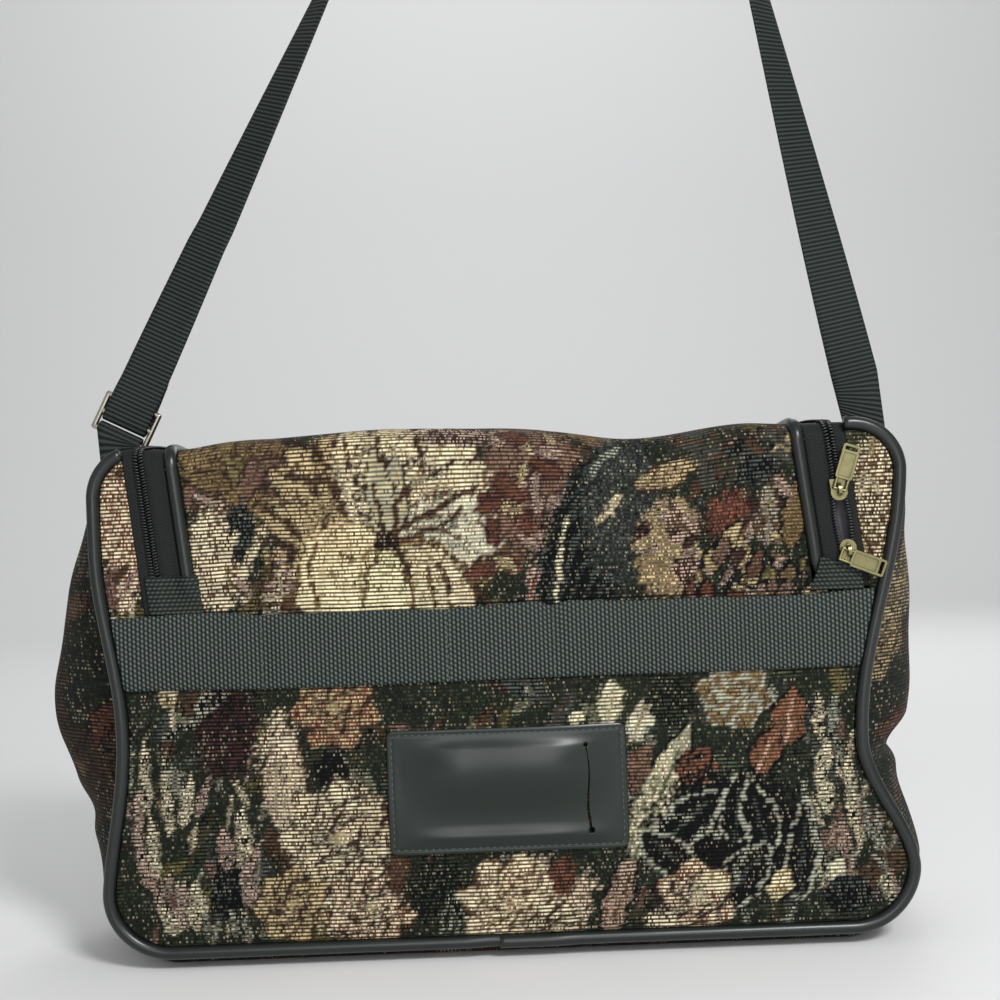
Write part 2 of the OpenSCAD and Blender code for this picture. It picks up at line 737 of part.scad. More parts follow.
// The lower pull lies sideways, with one arm of its eye through the bail
module lower_pull() {
    arm = eye_w / 2 - wire_d / 2;
    color("DarkKhaki") on_leg(lower_slider_s) translate([0, 0, hinge_n]) rotate(-lower_pull_droop)
        translate([-eye_back, -arm, 0]) rotate(-90) {
            eye();
            translate([0, eye_len, 0]) tag();
        }
}

// Webbing tab over the end of the zip, from the band's edge up to its inner and outer height
module zip_tab(low, top, in_h, out_h) {
    thick = 1.4;
    side = low < 0 ? -1 : 1;
    edges = [[-tab_in, in_h], [tab_out, out_h]];
    function at(s, off, n) = on_lid(leg_u(low, top, s) + side * off, s, n + gap);
    function grid(n) = [for (k = [0, 1]) [for (e = edges) at(k == 0 ? gap : e[1], e[0], n)]];
    color("DarkSlateGray") sheet(grid(thick), grid(0), [[1]], low < 0);
}
module left_zip_tab() {
    zip_tab(zip_left_low_x, zip_left_top_x, left_tab_h, left_tab_h);
}
module right_zip_tab() {
    zip_tab(zip_right_low_x, zip_right_top_x, right_tab_in_h, right_tab_out_h);
}

// Band and card holder

module front_band() {
    // The band's ends stop short of the welt
    reach = 3;
    low_z = band_top_z - band_w;
    cols = 24;
    left = [for (z = [low_z, band_top_z - 2]) edge_x(-1, z, seam) + reach - gap];
    right = [for (z = [low_z, band_top_z - 2]) edge_x(1, z, seam) - reach + gap];
    function wave(t) = band_wave * (cos(360 * 4 * t) - 1) / 2;
    function at(k, t, n) =
        on_front(mix(left[k], right[k], t), k == 0 ? low_z : band_top_z + wave(t) - gap, n + gap);
    outer = [for (k = [0, 1]) [for (t = steps(0, 1, cols)) at(k, t, band_t)]];
    inner = [for (k = [0, 1]) [for (t = steps(0, 1, cols)) at(k, t, 0)]];
    color("DimGray") sheet(outer, inner, whole(outer));
}

module card_holder() {
    corner = 4;
    low = holder_z - holder_h / 2;
    rows = concat(
        [for (i = [0:3]) low + corner * (1 - cos(30 * i))],
        steps(low + corner + 8, low + holder_h - corner - 8, 3),
        [for (i = [0:3]) low + holder_h - corner + corner * sin(30 * i)]
    );
    function half_at(z) =
        let (d = max(0, low + corner - z, z - low - holder_h + corner) / corner)
        holder_w / 2 - corner * (1 - sqrt(1 - min(1, d * d)));
    function at(z, t, n) = on_front(mix(-half_at(z), half_at(z), t), z, n + gap);
    outer = [for (z = rows) [for (t = steps(0, 1, 8)) at(z, t, holder_t)]];
    inner = [for (z = rows) [for (t = steps(0, 1, 8)) at(z, t, 0)]];
    through = 3 * front_swell + 3 * holder_t;
    color("DarkSlateGray") difference() {
        sheet(outer, inner, whole(outer));
        translate([slit_x, front_face, holder_z]) rotate([90, 0, 0]) {
            for (y = [-1, 1])
                translate([0, y * slit_len / 2, 0]) cylinder(through, d = slit_hole_d, $fn = 32);
            translate([-slit_w / 2, -slit_len / 2, 0]) cube([slit_w, slit_len, through]);
        }
    }
}

// Strap

// Point at distance a along a run, off to one face and w along the width. The left run is
// right-handed (hand 1) and the right run left-handed, so the same face is in front on both
function run_twist(a, long, reach) = 90 * sin(90 * share((a - flat_run) / (reach * long)));
function run_at(foot, dir, turn, a, off, w, hand = 1) =
    let (
        wide = [hand * dir[1] * cos(turn), -sin(turn), -hand * dir[0] * cos(turn)],
        face = [dir[1] * sin(turn), hand * cos(turn), -dir[0] * sin(turn)]
    )
    [foot[0], 0, foot[1]] + a * [dir[0], 0, dir[1]] + off * face + w * wide;

module shoulder_strap() {
    half = strap_w / 2;
    flat = strap_t / 2;
    left_long = norm([peak_x, peak_z] - left_foot);
    right_long = norm([peak_x, peak_z] - right_foot);
    spread = acos(left_dir * right_dir);
    tangent = peak_r / tan(spread / 2);
    bar_a = anchor_len + bar_pitch;
    near = strap_t / 2 + gap / 2;
    past = bar_a + bar_pitch + closing;
    corners = [[-1, -1], [1, -1], [1, 1], [-1, 1]];
    // Left run at distance a, with its outer face turned to side 1 (back) or -1 (front)
    function left_ring(a, off, side) =
        let (turn = run_twist(a, left_long, twist_left))
        [for (k = corners)
            run_at(left_foot, left_dir, turn, a, off + side * flat * k[1], half * k[0])];
    function right_ring(a) =
        let (turn = run_twist(a, right_long, twist_right))
        [for (k = corners)
            run_at(right_foot, right_dir, turn, a, flat * k[1], half * k[0], -1)];
    sewn = [for (k = corners)
        let (p = corner_at(1, k[0] < 0 ? foot_far_a : foot_near_a, foot_lift))
        [p[0], -flat * k[1], p[1]]];
    tail = [for (a = steps(past + tail_len, past, 4)) left_ring(a, near, 1)];
    behind = [left_ring(bar_a + bar_pitch + bar_clear, lay, 1), left_ring(bar_a + bar_clear, lay, 1)];
    wrap = [for (b = steps(0, 180, 6))
        [for (k = corners)
            let (r = lay + flat * k[1])
            run_at(left_foot, left_dir, 0, bar_a - r * sin(b), r * cos(b), half * k[0])]];
    front = concat(
        [left_ring(bar_a + bar_clear, -lay, -1), left_ring(bar_a + bar_pitch + bar_clear, -lay, -1)],
        [for (a = steps(past, past + tail_len, 4)) left_ring(a, -near, -1)],
        [for (a = steps(past + tail_len + closing, left_long - tangent, 12)) left_ring(a, 0, -1)]
    );
    // Top turn, edge-on to the front
    middle = [peak_x, peak_z] - unit(left_dir + right_dir) * peak_r / sin(spread / 2);
    lead = atan2(left_dir[0], left_dir[1]);
    trail = atan2(-right_dir[0], right_dir[1]);
    top = [for (b = steps(180 - lead, trail, 8))
        [for (k = corners)
            let (r = peak_r + flat * k[1])
            [middle[0] + r * cos(b), -half * k[0], middle[1] + r * sin(b)]]];
    right = concat(
        [for (a = steps(right_long - tangent, right_flat, 14)) right_ring(a)],
        [sewn]
    );
    color("DimGray") loft(concat(tail, behind, wrap, front, top, right));
}

// Three-bar slide in the plane of the strap's lower end
module strap_slide() {
    long = strap_w + bar_d + 1.4;
    turn = atan2(left_dir[0], left_dir[1]);
    color("Silver") translate([left_foot[0], 0, left_foot[1]]) rotate([0, turn, 0])
        for (k = [0, 1, 2]) translate([0, 0, anchor_len + k * bar_pitch]) {
            rotate([0, 90, 0]) cylinder(long, d = bar_d, center = true, $fn = 32);
            for (x = [-1, 1]) translate([x * long / 2, 0, 0]) {
                sphere(d = bar_d, $fn = 32);
                if (k < 2) cylinder(bar_pitch, d = bar_d, $fn = 32);
            }
        }
}

// Doubled webbing from the left corner round the slide's lowest bar
module anchor_loop() {
    half = strap_w / 2;
    flat = strap_t / 2;
    corners = [[-1, -1], [1, -1], [1, 1], [-1, 1]];
    function leg(side) = [for (k = corners)
        let (p = corner_at(-1, k[0] < 0 ? foot_far_a : foot_near_a, foot_lift))
        [p[0], side * (lay + flat * k[1]), p[1]]];
    wrap = [for (b = steps(0, 180, 8))
        [for (k = corners)
            let (r = lay + flat * k[1])
            run_at(left_foot, left_dir, 0, anchor_len + r * sin(b), r * cos(b), half * k[0])]];
    color("DimGray") loft(concat([leg(1)], wrap, [leg(-1)]), true);
}

front_panel();
back_panel();
gusset();
top_flap();
top_rim();
base_board();
front_piping();
back_piping();
flap_piping();
zip_tape_body();
zip_tape_flap();
zip_coil_body();
zip_coil_flap();
upper_slider();
upper_pull();
lower_slider();
lower_pull();
left_zip_tab();
right_zip_tab();
front_band();
card_holder();
shoulder_strap();
strap_slide();
anchor_loop();
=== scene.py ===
import math

import bpy
import numpy as np
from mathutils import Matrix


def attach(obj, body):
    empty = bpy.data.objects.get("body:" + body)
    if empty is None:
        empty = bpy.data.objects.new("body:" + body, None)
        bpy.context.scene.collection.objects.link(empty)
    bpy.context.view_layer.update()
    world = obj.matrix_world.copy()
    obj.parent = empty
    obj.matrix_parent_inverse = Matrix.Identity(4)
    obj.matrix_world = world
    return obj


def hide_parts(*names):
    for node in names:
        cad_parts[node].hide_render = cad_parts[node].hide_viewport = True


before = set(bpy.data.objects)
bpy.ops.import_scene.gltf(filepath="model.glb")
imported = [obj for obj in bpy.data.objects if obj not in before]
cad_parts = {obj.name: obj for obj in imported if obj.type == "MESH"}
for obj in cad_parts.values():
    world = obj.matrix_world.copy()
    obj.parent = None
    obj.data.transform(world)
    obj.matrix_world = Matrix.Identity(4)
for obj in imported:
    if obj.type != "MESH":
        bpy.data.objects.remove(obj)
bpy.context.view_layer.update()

# Sizes, in millimetres
FRONT_W, FRONT_H, DEPTH = 404.0, 252.0, 112.0
LOW_R, TOP_R, BASE_DROP, CLOTH = 32.0, 24.0, 8.5, 1.8
FRONT_SWELL, BACK_SWELL, LID_CROWN = 7.0, 5.0, 2.5
WAIST_L, WAIST_L_Z, WAIST_L_REACH = 10.5, 117.0, 95.0
WAIST_R, WAIST_R_Z, WAIST_R_RISE, WAIST_R_FALL = 24.0, 103.0, 140.0, 68.0
SWELL_L, SWELL_R, SWELL_LEAST, SWELL_Z, SWELL_REACH = 45.0, 32.0, 13.0, 133.0, 112.0
DIP, DIP_X, DIP_REACH = 5.5, 80.0, 58.0
LID_EDGE_R, LID_MID_R = 7.0, 15.0
WELT_R, GAP = 3.3, 0.3
ZIP_L_LOW, ZIP_L_TOP, ZIP_R_LOW, ZIP_R_TOP = -170.0, -179.0, 176.5, 166.5
ZIP_CORNER, RIM = 32.0, 12.0
TAPE_BODY, TAPE_LID, TAPE_T = 8.0, 12.5, 0.7
COIL_W, COIL_H, CHAIN_OPEN, CHAIN_RAMP, CHAIN_LENS = 2.8, 1.75, 1.8, 3.0, 0.5
LOW_SLIDER, UP_SLIDER = 19.5, 50.0
BAND_W, BAND_TOP, BAND_T = 38.0, 177.5, 1.6
HOLDER_W, HOLDER_H, HOLDER_Z, HOLDER_T = 119.0, 62.0, 85.0, 1.5
SLIT_X, SLIT_LEN, SLIT_HOLE = 40.0, 43.0, 3.0
STRAP_W, STRAP_T = 25.0, 1.6
PEAK, PEAK_R = np.array([80.5, 826.5]), 14.0
TWIST_L, TWIST_R, TAIL = 0.8, 0.88, 78.0
BAR_D, BAR_PITCH, ANCHOR = 3.0, 9.5, 7.5
RIB_MM, YARN_MM, DRIFT_MM, COIL_PITCH = 1.9, 0.85, 24.0, 1.5
FOLD_X, FOLD_Z, FOLD_DEEP = 170.0, 100.0, 2.6
LID_TAUT, LID_SLACK = 150.0, 110.0
BAND_STITCH, HOLDER_STITCH = (2.3, 0.7, 0.6), (2.1, 0.55, 0.5)
TO_FRONT = [0.0, -1.0, 0.0]

HALF_W, FACE, BASE_Z, TOP_Z = FRONT_W / 2, -DEPTH / 2, BASE_DROP, BASE_DROP + FRONT_H
SEAM, FLAT_X, BACK_WAIST, BASE_RAMP = WELT_R + GAP, 150.0, 0.45, 0.08
LID_FRONT = TOP_Z - BAND_TOP
LID_BEND = LID_FRONT - LID_EDGE_R
LID_TURNED = LID_BEND + LID_EDGE_R * math.pi / 2
LID_FULL = LID_TURNED + DEPTH - LID_EDGE_R
ZIP_BACK = LID_FULL - RIM - TAPE_BODY - SEAM
WELT_OFF = TAPE_LID + GAP + WELT_R
LID_OFF = TAPE_LID + 2 * GAP + 2 * WELT_R
TAB_IN, TAB_OUT, TAB_L, TAB_R_IN, TAB_R_OUT = LID_OFF + 1.7, 5.0, 19.5, 17.0, 10.5
COIL_L, COIL_R = TAB_L + 0.5, 12.6


# Small mathematics
def share(t):
    return np.clip(t, 0.0, 1.0)


def bump(t):
    return np.cos(np.pi / 2 * np.clip(t, -1, 1)) ** 2


def arch(w):
    return 4 * w * (1 - w)


def mix(a, b, t):
    return a + (b - a) * t


def smooth(lo, hi, t):
    t = share((t - lo) / (hi - lo))
    return t * t * (3 - 2 * t)


def ripple(a, b, seed, size):
    """Smooth wandering in -1..1 over a plane, with features of about that size."""
    rng = np.random.default_rng(seed)
    total = np.zeros(np.broadcast(a, b).shape)
    for _ in range(7):
        turn, phase = rng.uniform(0, 2 * np.pi, 2)
        wave = 2 * np.pi / (size * rng.uniform(0.75, 1.6))
        total = total + np.sin(wave * (a * np.cos(turn) + b * np.sin(turn)) + phase)
    return total / 7 * 1.6


def run_of(path):
    """Distance of each point along a polyline."""
    return np.r_[0, np.cumsum(np.linalg.norm(np.diff(path, axis=0), axis=1))]


def even(path, step):
    """The same polyline with points about step apart, and their distances along it."""
    path = np.asarray(path, float)
    run = run_of(path)
    keep = np.r_[True, np.diff(run) > 1e-9]
    run, path = run[keep], path[keep]
    at = np.linspace(0, run[-1], max(2, int(round(run[-1] / step)) + 1))
    return np.stack([np.interp(at, run, path[:, k]) for k in range(path.shape[1])], 1), at


def headings(path):
    d = np.gradient(path, axis=0)
    return d / np.linalg.norm(d, axis=1, keepdims=True)


def unit(v):
    return v / np.linalg.norm(v, axis=-1, keepdims=True)


# The bag's surfaces
def waist(side, z):
    if side < 0:
        return WAIST_L * bump((z - WAIST_L_Z) / WAIST_L_REACH)
    reach = np.where(z > WAIST_R_Z, WAIST_R_RISE, WAIST_R_FALL)
    return WAIST_R * bump((z - WAIST_R_Z) / reach)


def edge_x(side, z, inset=0.0, keep=1.0):
    low, top = LOW_R - inset, TOP_R - inset
    under, over = share((BASE_Z + LOW_R - z) / low), share((z - TOP_Z + TOP_R) / top)
    corner = low * (1 - np.sqrt(1 - under**2)) + top * (1 - np.sqrt(1 - over**2))
    return side * (HALF_W - inset - keep * waist(side, z) - corner)


def front_out(x, z):
    """How far the front stands forward: the swell, plus the slack of the cloth away from the zip."""
    swell = FRONT_SWELL * np.maximum(0, 1 - (x / FLAT_X) ** 2) ** 1.5
    body = swell * arch(share((z - BASE_Z) / FRONT_H))
    inside = smooth(8, 45, HALF_W - np.abs(x)) * smooth(BASE_Z + 4, BASE_Z + 40, z)
    low = inside * (1 - smooth(130, 150, z))
    lid = smooth(LID_TAUT, LID_SLACK, np.abs(x))
    lid = lid * smooth(BAND_TOP, BAND_TOP + 18, z) * (1 - smooth(TOP_Z - 22, TOP_Z - 8, z))
    waist_fold = FOLD_DEEP * bump((x - FOLD_X) / 42) * bump((z - FOLD_Z - 0.35 * (x - FOLD_X)) / 30)
    slack = 1.3 * ripple(x, z * 1.3, 3, 92) * low + 0.5 * ripple(x, z, 4, 34) * low
    return body + slack - waist_fold * low + (1.5 * ripple(x, z, 5, 84) + 0.4 * ripple(x, z, 6, 30)) * lid


def on_front(x, z, n):
    x, z, n = np.broadcast_arrays(x, z, n)
    return np.stack([x, FACE - front_out(x, z) - n, z], -1)


def lid_r(u):
    return LID_EDGE_R + (LID_MID_R - LID_EDGE_R) * np.maximum(0, 1 - (u / FLAT_X) ** 2)


def lid_sag(u, f):
    return (DIP * bump((u - DIP_X) / DIP_REACH) + 1.6 * bump((u + 158) / 34)) * f


def on_lid(u, s, n):
    u, s, n = np.broadcast_arrays(np.asarray(u, float), np.asarray(s, float), np.asarray(n, float))
    r = lid_r(u)
    bend = LID_FRONT - r
    turned = bend + r * np.pi / 2
    q = s * (turned + DEPTH - r) / LID_FULL
    a = np.pi / 2 * share((q - bend) / (r * np.pi / 2))
    back = np.maximum(0, q - turned)
    y = FACE + r - (r + n) * np.cos(a) + back - front_out(u, BAND_TOP + bend) * (1 - a / (np.pi / 2))
    z = TOP_Z - r + (r + n) * np.sin(a)
    z = z + LID_CROWN * arch(share((y - FACE) / DEPTH)) * share(a / (np.pi / 2)) - lid_sag(u, 1)
    slack = smooth(LID_TAUT, LID_SLACK, np.abs(u)) * smooth(0, 25, back) * (1 - smooth(55, 75, back))
    z = z + 1.2 * ripple(u, back, 8, 70) * slack
    flat = on_front(u, BAND_TOP + q, n)
    flat[..., 2] -= lid_sag(u, q / LID_FRONT)
    return np.where((q < bend)[..., None], flat, np.stack([u, y, z], -1))


def leg_u(low, top, s):
    return mix(low, top, share(np.asarray(s, float) / LID_FRONT))


def outline(keep, start_deg):
    """The welted outline from the upper left corner round the base to the upper right corner."""
    low_z, high_z = BASE_Z + LOW_R, TOP_Z - TOP_R

    def corner(a0, a1, side, r, z0, waisted):
        a = np.radians(np.linspace(a0, a1, 40))
        z = z0 + r * np.sin(a)
        pull = keep * waist(side, z) if waisted else 0
        return np.stack([side * (HALF_W - r) + r * np.cos(a) - side * pull, z], 1)

    down = np.linspace(high_z, low_z, 160)[1:-1]
    return np.concatenate([
        corner(start_deg, 180, -1, TOP_R, high_z, False),
        np.stack([edge_x(-1, down, 0, keep), down], 1),
        corner(180, 270, -1, LOW_R, low_z, True),
        corner(270, 360, 1, LOW_R, low_z, True),
        np.stack([edge_x(1, down[::-1], 0, keep), down[::-1]], 1),
        corner(0, 90, 1, TOP_R, high_z, False),
    ])


LEFT_STOP, RIGHT_STOP = ZIP_L_TOP - TAPE_BODY - GAP, ZIP_R_TOP + TAPE_BODY + GAP
LEFT_STOP_A = math.degrees(math.acos((LEFT_STOP + HALF_W - TOP_R) / TOP_R))


def zip_to_zip(keep):
    return np.concatenate([outline(keep, LEFT_STOP_A), [[RIGHT_STOP, TOP_Z]]])


def outward(path):
    t = headings(path)
    return np.stack([t[:, 1], -t[:, 0]], 1)


def end_swell(x, z):
    most = np.where(x < 0, SWELL_L, SWELL_R)
    return SWELL_LEAST + (most - SWELL_LEAST) * bump((z - SWELL_Z) / SWELL_REACH)


def gusset_out(p, n, w):
    """Sideways swell at the ends, drop at the base and dome at the top."""
    plateau = share(np.minimum(w, 1 - w) / BASE_RAMP)
    x = arch(w) * end_swell(p[..., 0], p[..., 1]) * n[..., 0] * np.abs(n[..., 0])
    z = LID_CROWN * arch(w) * np.maximum(0, n[..., 1]) ** 2
    z = z - BASE_DROP * plateau * np.maximum(0, -n[..., 1]) ** 2
    return np.stack([x, z], -1)


def corner_at(side, deg, lift):
    n = np.array([side * math.sin(math.radians(deg)), math.cos(math.radians(deg))])
    p = np.array([side * (HALF_W - TOP_R), TOP_Z - TOP_R]) + TOP_R * n
    return p + gusset_out(p, n, 0.5) + lift * n


def zip_path(start, finish, step):
    """Middle of the chain as (u, s), up the left leg, round the back and down the right leg."""
    legs = np.linspace(start, ZIP_BACK - ZIP_CORNER, 120)
    a = np.radians(np.linspace(180, 90, 40))
    left = np.stack([leg_u(ZIP_L_LOW, ZIP_L_TOP, legs), legs], 1)
    turn_l = np.stack([ZIP_L_TOP + ZIP_CORNER * (1 + np.cos(a)), ZIP_BACK - ZIP_CORNER * (1 - np.sin(a))], 1)
    b = a[::-1] - np.pi / 2
    turn_r = np.stack([ZIP_R_TOP - ZIP_CORNER * (1 - np.cos(b)), ZIP_BACK - ZIP_CORNER * (1 - np.sin(b))], 1)
    legs = np.linspace(ZIP_BACK - ZIP_CORNER, finish, 120)
    right = np.stack([leg_u(ZIP_R_LOW, ZIP_R_TOP, legs), legs], 1)
    return even(np.concatenate([left, turn_l, turn_r[np.argsort(-b)], right]), step)


def chain_gap(path):
    half, mid = (UP_SLIDER - LOW_SLIDER) / 2, (UP_SLIDER + LOW_SLIDER) / 2
    off = np.abs(path[:, 1] - mid)
    opened = CHAIN_OPEN * share((half - off) / CHAIN_RAMP) + CHAIN_LENS * bump(off / half)
    return np.where((path[:, 0] < 0) | (off >= half), 0, opened)


def beside_chain(path, side):
    t = headings(path)
    return np.stack([-t[:, 1], t[:, 0]], 1) * side


# Meshes
def new_object(name, verts_mm, faces, uv=None, tones=None):
    """Object at the origin from points in millimetres, with a UV in metres and two cloth tones."""
    me = bpy.data.meshes.new(name)
    me.from_pydata((np.asarray(verts_mm) / 1000).tolist(), [], [list(map(int, f)) for f in faces])
    if uv is not None:
        loops = np.empty(len(me.loops), np.int32)
        me.loops.foreach_get("vertex_index", loops)
        layer = me.uv_layers.new(name="cut")
        layer.data.foreach_set("uv", (np.asarray(uv)[loops] / 1000).astype(np.float32).ravel())
    if tones is not None:
        for key, values in zip(("tone_a", "tone_b"), tones):
            att = me.attributes.new(key, "FLOAT_COLOR", "POINT")
            att.data.foreach_set("color", values.astype(np.float32).ravel())
    me.polygons.foreach_set("use_smooth", np.ones(len(me.polygons), bool))
    me.validate()
    obj = bpy.data.objects.new(name, me)
    bpy.context.scene.collection.objects.link(obj)
    return obj


def grid_faces(rows, cols, first=0, flip=False, round_cols=False):
    i, j = np.meshgrid(np.arange(rows - 1), np.arange(cols if round_cols else cols - 1), indexing="ij")
    k = (j + 1) % cols
    here, next_row = first + i * cols, first + (i + 1) * cols
    quads = np.stack([here + j, here + k, next_row + k, next_row + j], -1).reshape(-1, 4)
    return quads[:, ::-1] if flip else quads


def sheet_parts(outer, inner, first=0, flip=False):
    """Points and faces of a closed sheet between two grids; the outer grid's face looks along du x dv."""
    rows, cols = outer.shape[:2]
    count = rows * cols
    faces = [grid_faces(rows, cols, first, flip), grid_faces(rows, cols, first + count, not flip)]
    ids = np.arange(count).reshape(rows, cols) + first
    loop = np.concatenate([ids[0, :-1], ids[:-1, -1], ids[-1, :0:-1], ids[:0:-1, 0]])
    ahead = np.roll(loop, -1)
    rim = np.stack([loop, loop + count, ahead + count, ahead], 1)
    faces.append(rim[:, ::-1] if flip else rim)
    return np.concatenate([outer.reshape(-1, 3), inner.reshape(-1, 3)]), np.concatenate(faces)


def sheet_object(name, patches, painter=None):
    """One object from several (outer, inner, uv, flip) patches."""
    verts, faces, uvs = [], [], []
    count = 0
    for outer, inner, uv, flip in patches:
        v, f = sheet_parts(outer, inner, count, flip)
        verts.append(v)
        faces.append(f)
        uvs += [uv.reshape(-1, 2), uv.reshape(-1, 2)]
        count += len(v)
    uv = np.concatenate(uvs)
    return new_object(name, np.concatenate(verts), np.concatenate(faces), uv, painter(uv) if painter else None)


def tube_parts(rings, first=0, flip=False):
    """Points and faces of a capped skin through rings of points."""
    rows, cols = rings.shape[:2]
    faces = grid_faces(rows, cols, first, flip, True).tolist()
    start, end = list(range(first, first + cols)), list(range(first + (rows - 1) * cols, first + rows * cols))
    faces += [start if flip else start[::-1], end[::-1] if flip else end]
    return rings.reshape(-1, 3), faces


def tube_object(name, tubes, uvs=None, flip=False):
    verts, faces, count = [], [], 0
    for rings in tubes:
        v, f = tube_parts(rings, count, flip)
        verts.append(v)
        faces += f
        count += len(v)
    uv = None if uvs is None else np.concatenate([u.reshape(-1, 2) for u in uvs])
    return new_object(name, np.concatenate(verts), faces, uv)


# Colours and shader nodes
def rgb(code):
    """Linear colour from an sRGB hex code."""
    parts = [int(code[i : i + 2], 16) / 255 for i in (0, 2, 4)]
    return [c / 12.92 if c <= 0.04045 else ((c + 0.055) / 1.055) ** 2.4 for c in parts]


def node(tree, kind, links=None, **settings):
    """Adds a node; settings are properties or, with a leading in_, input values by index or name."""
    n = tree.nodes.new(kind)
    for key, value in settings.items():
        if key.startswith("in_"):
            name = key[3:].replace("_", " ")
            n.inputs[int(name) if name.isdigit() else name].default_value = value
        else:
            setattr(n, key, value)
    for key, source in (links or {}).items():
        tree.links.new(getattr(source, "socket", source), n.inputs[key])
    return n


class Wire:
    """A number in a shader tree: arithmetic with it adds Math nodes."""

    def __init__(self, tree, socket):
        self.tree, self.socket = tree, socket

    def sum(self, kind, *terms):
        n = node(self.tree, "ShaderNodeMath", operation=kind)
        for slot, term in zip(n.inputs, terms):
            if isinstance(term, Wire):
                self.tree.links.new(term.socket, slot)
            else:
                slot.default_value = term
        return Wire(self.tree, n.outputs[0])

    def __add__(self, other):
        return self.sum("ADD", self, other)

    def __sub__(self, other):
        return self.sum("SUBTRACT", self, other)

    def __rsub__(self, other):
        return self.sum("SUBTRACT", other, self)

    def __mul__(self, other):
        return self.sum("MULTIPLY", self, other)

    def __truediv__(self, other):
        return self.sum("DIVIDE", self, other)

    def __pow__(self, other):
        return self.sum("POWER", self, other)

    def __lt__(self, other):
        return self.sum("LESS_THAN", self, other)

    def __gt__(self, other):
        return self.sum("GREATER_THAN", self, other)

    __radd__, __rmul__ = __add__, __mul__

    def floor(self):
        return self.sum("FLOOR", self)

    def fract(self):
        return self.sum("FRACT", self)

    def abs(self):
        return self.sum("ABSOLUTE", self)

    def hump(self):
        """0 at whole numbers, 1 halfway: the round of a yarn."""
        return self.sum("SINE", self * math.pi).abs()


def new_material(name, **surface):
    mat = bpy.data.materials.new(name)
    mat.use_nodes = True
    shader = mat.node_tree.nodes["Principled BSDF"]
    for key, value in surface.items():
        shader.inputs[key.replace("_", " ")].default_value = value
    return mat, mat.node_tree, shader


def cut_uv(tree, across_mm, along_mm):
    """The piece's flat cut, counted in yarns across and along it, and its plain UV socket."""
    uv = node(tree, "ShaderNodeUVMap", uv_map="cut").outputs["UV"]
    split = node(tree, "ShaderNodeSeparateXYZ", {"Vector": uv}).outputs
    return Wire(tree, split[0]) / (across_mm / 1000), Wire(tree, split[1]) / (along_mm / 1000), uv


def blend(tree, factor, a, b):
    """A colour between two; each is a socket or a hex code."""
    n = node(tree, "ShaderNodeMix", {"Factor": factor}, data_type="RGBA")
    for key, colour in (("A", a), ("B", b)):
        if isinstance(colour, str):
            n.inputs[key].default_value = [*rgb(colour), 1]
        else:
            tree.links.new(colour, n.inputs[key])
    return n.outputs["Result"]


def grain(tree, kind, size_mm, **settings):
    """First output of a texture in the solid, with features of that size."""
    where = node(tree, "ShaderNodeTexCoord").outputs["Object"]
    return node(tree, kind, {"Vector": where}, in_Scale=1000 / size_mm, **settings).outputs[0]


def set_colour(tree, shader, colour):
    tree.links.new(colour, shader.inputs["Base Color"])


def set_bump(tree, shader, height, depth_mm, strength):
    b = node(tree, "ShaderNodeBump", {"Height": height}, in_Strength=strength, in_Distance=depth_mm / 1000)
    tree.links.new(b.outputs["Normal"], shader.inputs["Normal"])


def tapestry():
    """Jacquard-woven cotton tapestry: weft ribs that wander a little, with the valleys between them painted as
    shade, a darkened copy of the second yarn, and each rib's crown painted lighter.
    Coloured yarns come to the face a millimetre or two at a time, so a colour is a stipple of two yarns,
    and single pale yarns fleck the dark ground. The two colours, the first one's share and the share of
    flecks come from the mesh, in tone_a and tone_b."""
    mat, t, s = new_material("jacquard_cotton_tapestry", Roughness=0.88, Specular_IOR_Level=0.1,
                             Sheen_Weight=0.04, Sheen_Roughness=0.5)

    def white_noise(dimensions, **links):
        return Wire(t, node(t, "ShaderNodeTexWhiteNoise", links, noise_dimensions=dimensions).outputs["Value"])

    across, straight, uv = cut_uv(t, YARN_MM, RIB_MM)
    drift = node(t, "ShaderNodeTexNoise", {"Vector": uv}, in_Scale=1000 / DRIFT_MM, in_Detail=1.0)
    along = 0.7 * Wire(t, drift.outputs[0]) + straight
    row = along.floor()
    float_x = across + white_noise("1D", W=row)
    cell = node(t, "ShaderNodeCombineXYZ", {0: float_x.floor(), 1: row}).outputs[0]
    pick, peek = white_noise("2D", Vector=cell), white_noise("4D", Vector=cell, W=row)
    a, b = (node(t, "ShaderNodeAttribute", attribute_name=key).outputs for key in ("tone_a", "tone_b"))
    part = Wire(t, a["Alpha"])
    chosen = node(t, "ShaderNodeMapRange", {"Value": part - pick}, in_From_Min=-0.22, in_From_Max=0.22)
    yarn = blend(t, chosen.outputs[0], b["Color"], a["Color"])
    fleck = peek + Wire(t, b["Alpha"]) > 1.0
    flecked = blend(t, fleck * pick, yarn, "857c69")
    rib, thread, scarce = along.hump(), float_x.hump(), 1.0 - part
    # painted light and shade across each rib and float: brightest on the crown, none in the groove between
    # ribs, and where the first yarn is scarce, none between floats
    painted_rib_light = rib**2.4 * (1.12 + scarce * (thread - 1.0))
    # the second yarn darkened to 0.28, painted shade in the grooves
    painted_valley_shade = node(t, "ShaderNodeVectorMath", {0: b["Color"]}, operation="MULTIPLY", in_1=(0.28, 0.28, 0.28))
    lit = blend(t, painted_rib_light, painted_valley_shade.outputs[0], flecked)
    sunk = peek < scarce * 0.36 - 0.08
    shade = 0.92 + 0.3 * peek - 0.6 * sunk
    face = node(t, "ShaderNodeVectorMath", {0: lit, 1: shade}, operation="MULTIPLY")
    set_colour(t, s, face.outputs[0])
    set_bump(t, s, rib + 0.05 * thread, 0.45, 0.8)
    return mat


